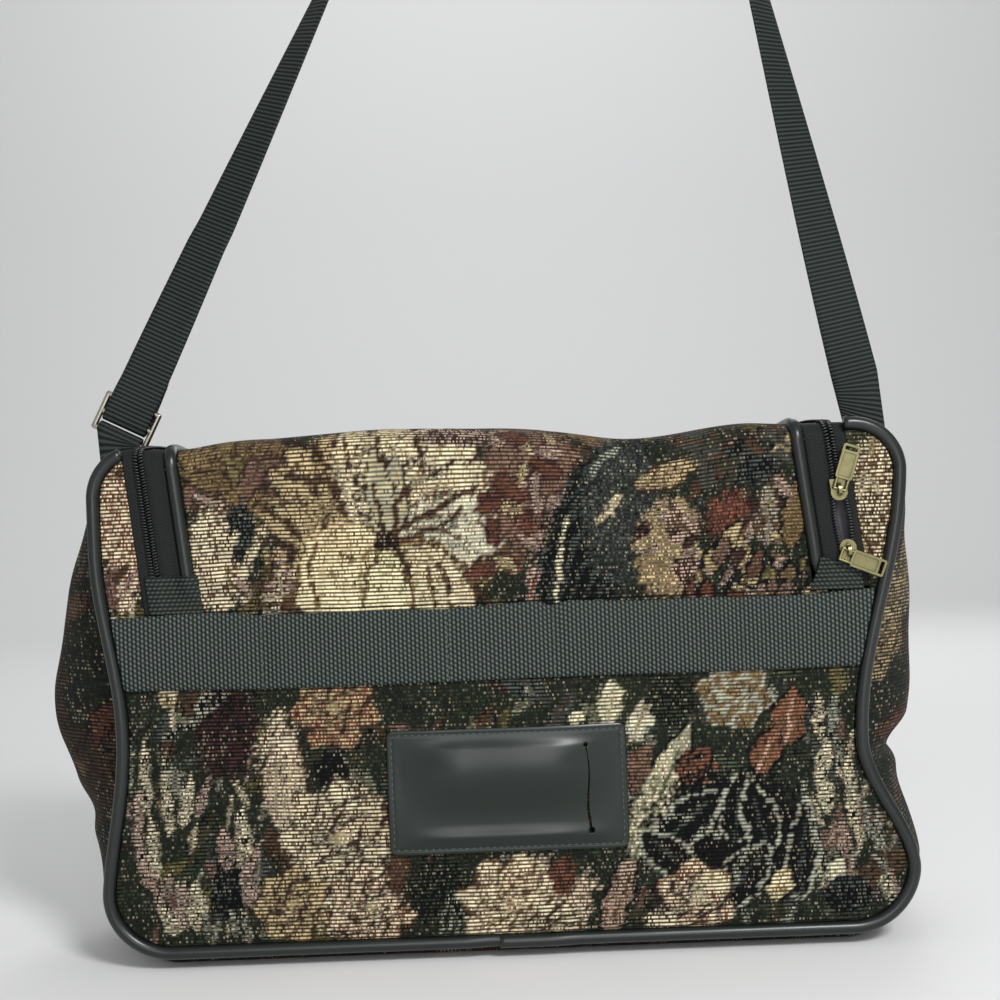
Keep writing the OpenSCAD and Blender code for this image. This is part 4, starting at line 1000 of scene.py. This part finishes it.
def back_cloth():
    low, top = LOW_R - SEAM, TOP_R - SEAM
    rows = np.concatenate([
        BASE_Z + SEAM + low * (1 - np.cos(np.linspace(0, np.pi / 2, 16))),
        np.arange(BASE_Z + LOW_R + 2, TOP_Z - TOP_R - 1, 2.2),
        TOP_Z - TOP_R + top * np.sin(np.linspace(0, np.pi / 2, 12)),
    ])[:, None]
    t = np.linspace(0, 1, 180)[None]
    x = mix(edge_x(-1, rows, SEAM, BACK_WAIST), edge_x(1, rows, SEAM, BACK_WAIST), t)
    z = np.broadcast_to(rows, x.shape)
    hold = arch(t) * arch(share((z - BASE_Z) / FRONT_H))
    swell = BACK_SWELL * hold + 1.2 * ripple(x, z, 61, 80) * hold

    def at_back(n):
        return np.stack([x, -FACE + swell + n, z - lid_sag(x, share((z - BAND_TOP) / LID_FRONT))], -1)

    patch = (at_back(0.0), at_back(-CLOTH), np.stack([-x, z], -1), True)
    return sheet_object("back_cloth", [patch], side_picture)


# Welts
def ring_angles(count):
    return np.linspace(0, 2 * np.pi, count, endpoint=False)


def welt_rings(path, y, shift=None):
    """Rings round an outline path at depth y; shift moves each point (outwards, forwards)."""
    path, run = even(path, 2.2)
    out = outward(path)
    a = ring_angles(14)[None]
    r = WELT_R * (1 + 0.025 * ripple(run, 0 * run, 71, 30))[:, None]
    move = np.zeros((len(path), 2)) if shift is None else shift(path)
    spread = r * np.cos(a) + move[:, :1]
    x = path[:, :1] + out[:, :1] * spread
    z = path[:, 1:] + out[:, 1:] * spread
    return np.stack([x, y + r * np.sin(a) - move[:, 1:], z], -1)


def front_welt():
    """Two lengths of welt whose ends lap side by side under the middle of the front."""
    path, _ = even(zip_to_zip(1), 1.0)
    cut_l, cut_r = 19.0, -7.0
    low = path[:, 1] < BASE_Z + 0.5
    first = path[: np.nonzero(low & (path[:, 0] < cut_l))[0][-1] + 1]
    last = path[np.nonzero(low & (path[:, 0] > cut_r))[0][0] :]

    def lap(sign):
        def move(p):
            near = (p[:, 1] < BASE_Z + 0.5) * smooth(30, 12, np.abs(p[:, 0] - 6))
            return np.stack([near * 0.25 * sign, near * 0.9 * sign], 1)
        return move

    return tube_object("front_welt", [welt_rings(first, FACE, lap(-1)), welt_rings(last, FACE, lap(1))])


def back_welt():
    long = HALF_W - TOP_R
    xs = np.linspace(long, GAP, 60)
    start = np.stack([-xs[::-1], TOP_Z - lid_sag(-xs[::-1], 1)], 1)
    end = np.stack([xs, TOP_Z - lid_sag(xs, 1)], 1)
    return tube_object("back_welt", [welt_rings(np.concatenate([start, outline(BACK_WAIST, 90), end]), -FACE)])


def lid_welt():
    """It thins where the right tab is sewn over it, and lies deeper along the back."""
    path, _ = zip_path(TAB_L - 5, 8.0, 2.0)
    side = beside_chain(path, -1)
    a = ring_angles(14)[None]
    thin = np.where(path[:, :1] > 0, 0.35 + 0.65 * smooth(9, 17, path[:, 1:]), 1.0)
    deep = 2.6 * smooth(LID_TURNED + 4, LID_TURNED + 40, path[:, 1:])
    off = WELT_OFF + WELT_R * thin * np.cos(a)
    u = path[:, :1] + side[:, :1] * off
    s = path[:, 1:] + side[:, 1:] * off
    rings = on_lid(u, s, WELT_R * (thin * np.sin(a) + 0.7 * thin - 0.7) - deep + 0 * u)
    return tube_object("lid_welt", [rings])


# Zip
def tape_piece(name, side, wide):
    path, run = zip_path(0.6, 0.6, 1.6)
    off = beside_chain(path, side)
    t = np.linspace(0, 1, 9)[None]
    near = (COIL_W / 2 + chain_gap(path))[:, None]
    across = mix(near, wide, t)
    u = path[:, :1] + off[:, :1] * across
    s = path[:, 1:] + off[:, 1:] * across
    uv = np.stack([across, np.broadcast_to(run[:, None], across.shape)], -1)
    return sheet_object(name, [(on_lid(u, s, 0), on_lid(u, s, -TAPE_T), uv, side < 0)])


BAR_SIZES = ("Length", "Width", "Height")


def repeat_tree(name, rings, segments):
    """Geometry Nodes: one rounded bar at each point, laid along the points' own directions."""
    tree = bpy.data.node_groups.new(name, "GeometryNodeTree")
    face = tree.interface
    face.new_socket("Geometry", in_out="INPUT", socket_type="NodeSocketGeometry")
    for label in BAR_SIZES:
        face.new_socket(label, in_out="INPUT", socket_type="NodeSocketFloat")
    face.new_socket("Finish", in_out="INPUT", socket_type="NodeSocketMaterial")
    face.new_socket("Geometry", in_out="OUTPUT", socket_type="NodeSocketGeometry")
    given = node(tree, "NodeGroupInput")
    along = node(tree, "GeometryNodeInputNamedAttribute", data_type="FLOAT_VECTOR", in_Name="along")
    out = node(tree, "GeometryNodeInputNamedAttribute", data_type="FLOAT_VECTOR", in_Name="out")
    stand = node(tree, "FunctionNodeAlignRotationToVector", {"Vector": out.outputs[0]}, axis="Z")
    turn = node(tree, "FunctionNodeAlignRotationToVector",
                {"Rotation": stand.outputs[0], "Vector": along.outputs[0]}, axis="X", pivot_axis="Z")
    bar = node(tree, "GeometryNodeMeshUVSphere", in_Segments=segments, in_Rings=rings, in_Radius=0.5)
    sizes = {k: given.outputs[label] for k, label in enumerate(BAR_SIZES)}
    size = node(tree, "ShaderNodeCombineXYZ", sizes)
    spread = node(tree, "GeometryNodeInstanceOnPoints",
                  {"Points": given.outputs["Geometry"], "Instance": bar.outputs["Mesh"],
                   "Rotation": turn.outputs[0], "Scale": size.outputs[0]})
    real = node(tree, "GeometryNodeRealizeInstances", {"Geometry": spread.outputs[0]})
    shade = node(tree, "GeometryNodeSetShadeSmooth", {"Geometry": real.outputs[0]})
    finish = node(tree, "GeometryNodeSetMaterial",
                  {"Geometry": shade.outputs[0], "Material": given.outputs["Finish"]})
    node(tree, "NodeGroupOutput", {"Geometry": finish.outputs[0]})
    return tree


TOOTH_TREE = repeat_tree("coil_turns", 5, 8)
STITCH_TREE = repeat_tree("stitches", 5, 6)


def repeated(name, tree, points, along, out, size_mm, mat, nodes=(), body="bag"):
    """Bars of that size at the points, made a plain mesh."""
    me = bpy.data.meshes.new(name + "_points")
    me.from_pydata((points / 1000).tolist(), [], [])
    for key, values in (("along", along), ("out", out)):
        att = me.attributes.new(key, "FLOAT_VECTOR", "POINT")
        att.data.foreach_set("vector", unit(values).astype(np.float32).ravel())
    seeds = bpy.data.objects.new(name + "_points", me)
    bpy.context.scene.collection.objects.link(seeds)
    mod = seeds.modifiers.new("repeat", "NODES")
    mod.node_group = tree
    sockets = {i.name: i.identifier for i in tree.interface.items_tree if i.in_out == "INPUT"}
    for label, value in zip(BAR_SIZES, size_mm):
        mod[sockets[label]] = value / 1000
    mod[sockets["Finish"]] = mat
    done = bpy.data.meshes.new_from_object(seeds.evaluated_get(bpy.context.evaluated_depsgraph_get()))
    bpy.data.objects.remove(seeds)
    for key in ("along", "out"):
        if key in done.attributes:
            done.attributes.remove(done.attributes[key])
    done.name = name
    obj = bpy.data.objects.new(name, done)
    bpy.context.scene.collection.objects.link(obj)
    return dress(obj, mat, nodes, body)


def coil_piece(name, side, nodes):
    """Turns of the coil every 1.5 mm, each lying across the chain and a little askew."""
    path, _ = zip_path(COIL_L, COIL_R, COIL_PITCH)
    if side < 0:
        path = (path[1:] + path[:-1]) / 2
    off = beside_chain(path, side)
    gap = chain_gap(path)
    mid = path + off * (gap + COIL_W * 0.5)[:, None]
    tip = mid + off * 1.0 + headings(path) * 0.16
    here = on_lid(mid[:, 0], mid[:, 1], COIL_H * 0.5 + 0.05)
    over = on_lid(mid[:, 0], mid[:, 1], COIL_H * 0.5 + 1.0)
    there = on_lid(tip[:, 0], tip[:, 1], COIL_H * 0.5 + 0.05)
    turn_size = (COIL_W + 0.5, 1.25, COIL_H)
    return repeated(name, TOOTH_TREE, here, there - here, over - here, turn_size, COIL_NYLON, nodes)


def zip_underlay():
    """Strip sewn inside the right leg, seen between the parted coils."""
    s = np.linspace(LOW_SLIDER - 8, UP_SLIDER + 12, 30)[:, None]
    off = np.linspace(-7, 7, 9)[None]
    u = leg_u(ZIP_R_LOW, ZIP_R_TOP, s) + off
    s = np.broadcast_to(s, u.shape)
    return sheet_object("zip_underlay", [(on_lid(u, s, -5.0), on_lid(u, s, -5.8), np.stack([u, s], -1), False)])


# Band, tabs and card holder
STITCH_X = (-119.5, -27.0, 25.5, 120.0)


def band_pull(x):
    """0 at a line of stitching, 1 between lines."""
    near = np.min([np.abs(x - c) for c in STITCH_X], axis=0)
    return smooth(0, 9, near)


def band_surface(x, f, n):
    """Point on the band: f from its lower to its upper edge."""
    wave = 1.0 * np.sin(x / 29 + 0.6) + 0.6 * np.sin(x / 13.7)
    high = BAND_TOP - 0.9 + 0.9 * wave * band_pull(x) - 1.0 * (1 - band_pull(x))
    low = BAND_TOP - BAND_W + 0.5 * np.sin(x / 37 + 1)
    z = mix(low, high, f)
    round_edge = 0.5 * (1 - share(np.minimum(f, 1 - f) / 0.03))
    puff = 0.9 * band_pull(x) * arch(f) ** 0.5
    return on_front(x, z, GAP + n * (1 + puff * 0.35) + np.where(n > 0, puff * 0.4 - round_edge, 0))


def band_piece():
    left = edge_x(-1, np.array([BAND_TOP - BAND_W, BAND_TOP - 2]), SEAM) + 0.2
    right = edge_x(1, np.array([BAND_TOP - BAND_W, BAND_TOP - 2]), SEAM) - 0.2
    f = np.r_[0, 0.012, 0.03, np.linspace(0.08, 0.92, 14), 0.97, 0.988, 1][:, None]
    t = np.linspace(0, 1, 300)[None]
    x = mix(mix(left[0], left[1], f), mix(right[0], right[1], f), t)
    f = np.broadcast_to(f, x.shape)
    uv = np.stack([x, f * BAND_W], -1)
    return sheet_object("band", [(band_surface(x, f, BAND_T), band_surface(x, f, 0.0), uv, False)])


def band_stitches():
    points, along, out = [], [], []
    for c in STITCH_X:
        f = np.linspace(0.05, 0.95, 13)
        x = np.full_like(f, c) + 0.25 * np.sin(f * 40)
        here = band_surface(x, f, BAND_T)
        points.append(here + [0, -0.1, 0])
        along.append(band_surface(x, f + 0.01, BAND_T) - here)
        out.append(np.tile(TO_FRONT, (len(f), 1)))
    points, along, out = map(np.concatenate, (points, along, out))
    return repeated("band_stitches", STITCH_TREE, points, along, out, BAND_STITCH, THREAD)


def tab_piece(name, low, top, in_h, out_h, slant=0.0):
    """Tab over the end of the zip; it rides up over the end of the lid's welt."""
    side = -1 if low < 0 else 1
    f = np.linspace(0, 1, 22)[:, None]
    off = np.linspace(-TAB_IN, TAB_OUT, 44)[None]
    t = (off + TAB_IN) / (TAB_IN + TAB_OUT)
    s = GAP + f * (mix(in_h, out_h, t) - GAP)
    off = off + slant * f * (1 - t)
    u = leg_u(low, top, s) + side * off
    f = np.broadcast_to(f, u.shape)
    over_welt = 2.9 * smooth(0.1, 0.85, f) * bump((off + WELT_OFF) / 7.5)
    over_zip = 0.6 * bump(off / 5)
    lip = -0.45 * smooth(0.94, 1.0, f)
    low_n = GAP + over_welt + over_zip
    uv = np.stack([s, off], -1)
    return sheet_object(name, [(on_lid(u, s, low_n + 1.4 + lip), on_lid(u, s, low_n), uv, side < 0)])


def holder_n(x, z):
    """Height of the card holder over the cloth: stitched flat at its edge, a broad roll over a narrow one."""
    low = HOLDER_Z - HOLDER_H / 2
    inset = np.minimum(HOLDER_W / 2 - np.abs(x), np.minimum(z - low, low + HOLDER_H - z))
    free = smooth(2.6, 10, inset) * smooth(2.6, 38, HOLDER_W / 2 - np.abs(x))
    rolls = 4.2 * bump((z - 94) / 24) + 3.0 * bump((z - 58) / 11) + 0.35 * ripple(x, z, 81, 46)
    groove = -0.35 * bump((inset - 2.4) / 1.2)
    return GAP + HOLDER_T + free * (0.7 + rolls) + groove - 0.4 * (1 - share(inset / 0.8))


def holder_piece():
    low, corner = HOLDER_Z - HOLDER_H / 2, 4.0
    z = np.linspace(low, low + HOLDER_H, 84)
    arc = corner * (1 - np.cos(np.linspace(0, np.pi / 2, 8)))
    sides = z[(z > low + corner) & (z < low + HOLDER_H - corner)]
    z = np.concatenate([low + arc, sides, (low + HOLDER_H - arc)[::-1]])[:, None]
    d = np.maximum(0, np.maximum(low + corner - z, z - low - HOLDER_H + corner)) / corner
    half = HOLDER_W / 2 - corner * (1 - np.sqrt(1 - share(d) ** 2))
    x = half * np.linspace(-1, 1, 150)[None]
    z = np.broadcast_to(z, x.shape)
    top = holder_n(x, z)
    uv = np.stack([x, z], -1)
    obj = sheet_object("holder_patch", [(on_front(x, z, top), on_front(x, z, top - HOLDER_T), uv, False)])
    # slit that gapes in its lower half, with a punched hole at each end
    a = np.linspace(0, 1, 30)
    wide = 0.16 + 0.6 * np.sin(np.pi * a**0.6) * (1 - a) ** 1.2
    bow = 1.8 * (0.5 - a) - 0.9 * np.sin(2 * np.pi * a)
    zs = HOLDER_Z - SLIT_LEN / 2 + SLIT_LEN * a
    rims = [np.stack([SLIT_X + bow + side * wide, zs], 1) for side in (1, -1)]
    slit = np.concatenate([rims[0], rims[1][::-1]])
    ends = []
    for end in (-1, 1):
        b = np.linspace(0, 2 * np.pi, 20, endpoint=False)
        c = HOLDER_Z + end * SLIT_LEN / 2
        r = SLIT_HOLE / 2 * (0.75 if end > 0 else 1.0)
        ends.append(np.stack([SLIT_X - 0.9 * end + r * np.cos(b), c + r * np.sin(b)], 1))
    for k, shape in enumerate([slit, *ends]):
        near = np.stack([shape[:, 0], np.full(len(shape), FACE - 25), shape[:, 1]], 1)
        far = near + [0, 25, 0]
        cutter = tube_object(f"cutter_{k}", [np.stack([near, far])], flip=True)
        mod = obj.modifiers.new("cut", "BOOLEAN")
        mod.operation, mod.solver, mod.object = "DIFFERENCE", "EXACT", cutter
        done = bpy.data.meshes.new_from_object(obj.evaluated_get(bpy.context.evaluated_depsgraph_get()))
        obj.modifiers.clear()
        obj.data = done
        bpy.data.objects.remove(cutter)
    return obj


def holder_stitches():
    inset, corner = 2.4, 2.5
    w, h = HOLDER_W / 2 - inset, HOLDER_H / 2 - inset
    loop = []
    for cx, cz, a0 in ((w, h, 0), (-w, h, 90), (-w, -h, 180), (w, -h, 270)):
        for a in np.radians(np.linspace(a0, a0 + 90, 8)):
            loop.append([cx + corner * (math.cos(a) - math.copysign(1, cx)),
                         cz + corner * (math.sin(a) - math.copysign(1, cz))])
    loop.append(loop[0])
    path, _ = even(loop, 3.4)
    x, z = path[:-1, 0], path[:-1, 1] + HOLDER_Z
    here = on_front(x, z, holder_n(x, z) + 0.1)
    t = headings(path)[:-1]
    along = np.stack([t[:, 0], 0 * t[:, 0], t[:, 1]], 1)
    out = np.tile(TO_FRONT, (len(x), 1))
    return repeated("holder_stitches", STITCH_TREE, here, along, out, HOLDER_STITCH, THREAD)


# Strap and anchor loop
LEFT_FOOT, RIGHT_FOOT = corner_at(-1, 40, 9.5), corner_at(1, 40, 3.0)
LEFT_DIR, RIGHT_DIR = unit(PEAK - LEFT_FOOT), unit(PEAK - RIGHT_FOOT)
LAY, HALF_STRAP, HALF_THICK = BAR_D / 2 + GAP + STRAP_T / 2, STRAP_W / 2, STRAP_T / 2


def web_section():
    """Cross-section of flat webbing with round edges: (width share, thickness share) pairs."""
    side = np.linspace(-0.96, 0.96, 9)
    top = np.stack([side, np.ones(9)], 1)
    low = np.stack([side[::-1], -np.ones(9)], 1)
    return np.concatenate([low[::-1], [[1.0, -0.3], [1.0, 0.3]], top[::-1], [[-1.0, 0.3], [-1.0, -0.3]]])


SECTION = web_section()
WIDE, THICK = HALF_STRAP * SECTION[:, 0], HALF_THICK * SECTION[:, 1]


def run_at(foot, direction, turn, a, off, w, hand=1):
    """A section of a strap's run: a along it from its foot, turned about it, off its middle, w across it."""
    dx, dz = direction
    c, s = np.cos(turn), np.sin(turn)
    wide = np.array([hand * dz * c, -s, -hand * dx * c])
    face = np.array([dz * s, hand * c, -dx * s])
    base = np.array([foot[0], 0, foot[1]]) + np.broadcast_to(a, w.shape)[:, None] * np.array([dx, 0, dz])
    return base + off[:, None] * face + w[:, None] * wide


def run_twist(a, long, reach):
    return np.radians(90 * np.sin(np.radians(90 * share((a - 32) / (reach * long)))))


def round_bar(at, way, count):
    """A half turn of webbing round one of the slide's bars, under it (way -1) or over it (way 1)."""
    r = LAY + THICK
    return [run_at(LEFT_FOOT, LEFT_DIR, 0.0, at + way * (r + 1.0) * np.sin(b), r * np.cos(b), WIDE)
            for b in np.radians(np.linspace(0, 180, count))]


def sewn_end(side, y):
    """The webbing's section where the corner's seam takes it in, at depth y."""
    near, far = corner_at(side, 18, 1.7), corner_at(side, 62, 1.7)
    t = (SECTION[:, 0] + 1) / 2
    return np.stack([mix(far[0], near[0], t), y, mix(far[1], near[1], t)], 1)


def web_object(name, rings, flip=False):
    rings = np.array(rings)
    run = run_of(rings.mean(1))
    uv = np.stack(np.broadcast_arrays(run[:, None], WIDE[None]), -1)
    return tube_object(name, [rings], [uv], flip)


def strap_piece():
    left_long, right_long = np.linalg.norm(PEAK - LEFT_FOOT), np.linalg.norm(PEAK - RIGHT_FOOT)
    spread = math.acos(float(LEFT_DIR @ RIGHT_DIR))
    tangent = PEAK_R / math.tan(spread / 2)
    bar = ANCHOR + BAR_PITCH
    near, past = STRAP_T / 2 + GAP / 2, bar + BAR_PITCH + 14
    sewn_from = 30

    def left(a, off, side, wide=1.0):
        turn = run_twist(a, left_long, TWIST_L)
        return run_at(LEFT_FOOT, LEFT_DIR, turn, a, off + side * THICK, wide * WIDE)

    def right(a):
        return run_at(RIGHT_FOOT, RIGHT_DIR, run_twist(a, right_long, TWIST_R), a, THICK, WIDE, -1)

    def offset(a):
        """Distance of each layer from the middle, spread by the slide's upper bar."""
        return mix(LAY, near, smooth(bar + BAR_PITCH + 2, past, a))

    # the free tail down to the middle bar, round it, and up to the peak
    rings = [left(a, offset(a), 1, mix(1.0, 0.86, smooth(past, past + 12, a)))
             for a in np.linspace(past + TAIL, bar + 1, 44)]
    rings += round_bar(bar, -1, 14)
    rings += [left(a, -offset(a) * (1 - smooth(past + TAIL, past + TAIL + 16, a)), -1)
              for a in np.linspace(bar + 1, left_long - tangent, 190)]
    # over the peak and down to the right seam
    middle = PEAK - unit(LEFT_DIR + RIGHT_DIR) * PEAK_R / math.sin(spread / 2)
    lead, trail = math.atan2(LEFT_DIR[0], LEFT_DIR[1]), math.atan2(-RIGHT_DIR[0], RIGHT_DIR[1])
    r = PEAK_R + THICK
    rings += [np.stack([middle[0] + r * math.cos(b), -WIDE, middle[1] + r * math.sin(b)], 1)
              for b in np.linspace(math.pi - lead, trail, 24)[1:-1]]
    rings += [right(a) for a in np.linspace(right_long - tangent, sewn_from, 170)]
    sewn = sewn_end(1, -THICK)
    rings += [mix(right(sewn_from), sewn, f) for f in np.linspace(0, 1, 14)[1:]]
    return web_object("strap", rings, flip=True)


def loop_piece():
    wrap = round_bar(ANCHOR, 1, 18)
    start, end = sewn_end(-1, LAY + THICK), sewn_end(-1, -LAY - THICK)
    rings = [mix(start, wrap[0], f) for f in np.linspace(0, 1, 10)[:-1]] + wrap
    rings += [mix(wrap[-1], end, f) for f in np.linspace(0, 1, 10)[1:]]
    return web_object("anchor_webbing", rings)


# Putting it together
front = dress(front_cloth(), TAPESTRY, ["front_panel"])
lid = dress(lid_cloth(), TAPESTRY, ["top_flap"])
gusset = dress(gusset_cloth(), TAPESTRY, ["gusset"])
rim = dress(rim_cloth(), TAPESTRY, ["top_rim"])
back = dress(back_cloth(), TAPESTRY, ["back_panel"])

for piece, cad in ((front_welt(), "front_piping"), (back_welt(), "back_piping"), (lid_welt(), "flap_piping")):
    dress(piece, WELT_VINYL, [cad])

tape_body = dress(tape_piece("tape_body", 1, TAPE_BODY), TAPE, ["zip_tape_body"])
tape_lid = dress(tape_piece("tape_lid", -1, TAPE_LID), TAPE, ["zip_tape_flap"])
underlay = dress(zip_underlay(), LINING, [])
for name, side, cad in (("coil_body", 1, "zip_coil_body"), ("coil_lid", -1, "zip_coil_flap")):
    coil_piece(name, side, [cad])

band = dress(band_piece(), BAND_WEB, ["front_band"])
tabs = [tab_piece("tab_left", ZIP_L_LOW, ZIP_L_TOP, TAB_L, TAB_L),
        tab_piece("tab_right", ZIP_R_LOW, ZIP_R_TOP, TAB_R_IN, TAB_R_OUT, 7.0)]
for tab, cad in zip(tabs, ("left_zip_tab", "right_zip_tab")):
    dress(tab, TAB_WEB, [cad])
strap = dress(strap_piece(), STRAP_WEB, ["shoulder_strap"])
loop = dress(loop_piece(), STRAP_WEB, ["anchor_loop"])
band_stitches()
holder = dress(holder_piece(), HOLDER_VINYL, ["card_holder"])
holder_stitches()

for cad, mat in (("upper_slider", BRASS), ("upper_pull", BRASS), ("lower_slider", BRASS), ("lower_pull", BRASS),
                 ("strap_slide", NICKEL), ("base_board", BOARD)):
    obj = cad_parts[cad]
    obj.data.materials.clear()
    obj.data.materials.append(mat)

# Floor, light and camera
def new_plain_object(name, data):
    obj = bpy.data.objects.new(name, data)
    bpy.context.scene.collection.objects.link(obj)
    return obj


profile = [(-6.0, 0.0), (2.0, 0.0)]
profile += [(2.0 + math.sin(a), 1.0 - math.cos(a)) for a in np.linspace(0, math.pi / 2, 24)[1:]] + [(3.0, 6.0)]
points = [(x, y, z - 0.0005) for y, z in profile for x in (-7.0, 7.0)]
sweep_mesh = bpy.data.meshes.new("pale_floor")
sweep_mesh.from_pydata(points, [], [(2 * k, 2 * k + 1, 2 * k + 3, 2 * k + 2) for k in range(len(profile) - 1)])
sweep_mesh.polygons.foreach_set("use_smooth", np.ones(len(sweep_mesh.polygons), bool))
sweep_mesh.materials.append(PAPER)
new_plain_object("pale_floor", sweep_mesh)

world = bpy.data.worlds.new("studio")
bpy.context.scene.world = world
world.use_nodes = True
world.node_tree.nodes.clear()
sky = node(world.node_tree, "ShaderNodeBackground", in_Strength=0.45, in_Color=[*rgb("f0f1f0"), 1])
node(world.node_tree, "ShaderNodeOutputWorld", {"Surface": sky.outputs[0]})

# round area lamps: name, place, aim, diameter in metres, watts
for name, place, aim, wide, power in (
    ("key", (0.55, -1.25, 1.1), (0.0, 0.0, 0.15), 0.4, 20),
    ("front", (0.0, -1.7, 0.5), (0.0, 0.0, 0.1), 1.0, 7),
    ("fill", (-1.3, -1.1, 0.7), (0.0, 0.0, 0.15), 0.9, 1),
    ("behind", (0.6, 1.4, 1.2), (0.0, 0.0, 0.15), 0.9, 5),
    ("wall", (0.0, 1.3, 2.4), (0.0, 3.0, 0.7), 1.6, 19),
):
    data = bpy.data.lights.new(name, "AREA")
    data.shape, data.size, data.energy = "DISK", wide, power
    lamp = new_plain_object(name, data)
    lamp.location = place
    way = np.array(aim) - np.array(place)
    lamp.rotation_euler = (math.acos(-way[2] / np.linalg.norm(way)), 0, math.atan2(way[0], -way[1]) + math.pi)

# the photo's view: level, rolled by the slant at which the bag hangs there
camera_data = bpy.data.cameras.new("camera")
camera_data.sensor_width, camera_data.lens = 36.0, 54.0
camera = new_plain_object("camera", camera_data)
camera.location = (0.0016, -0.806, 0.2286)
camera.rotation_euler = (math.pi / 2, math.radians(2.2), 0)
bpy.context.scene.camera = camera
bpy.context.scene.view_settings.view_transform = "Standard"
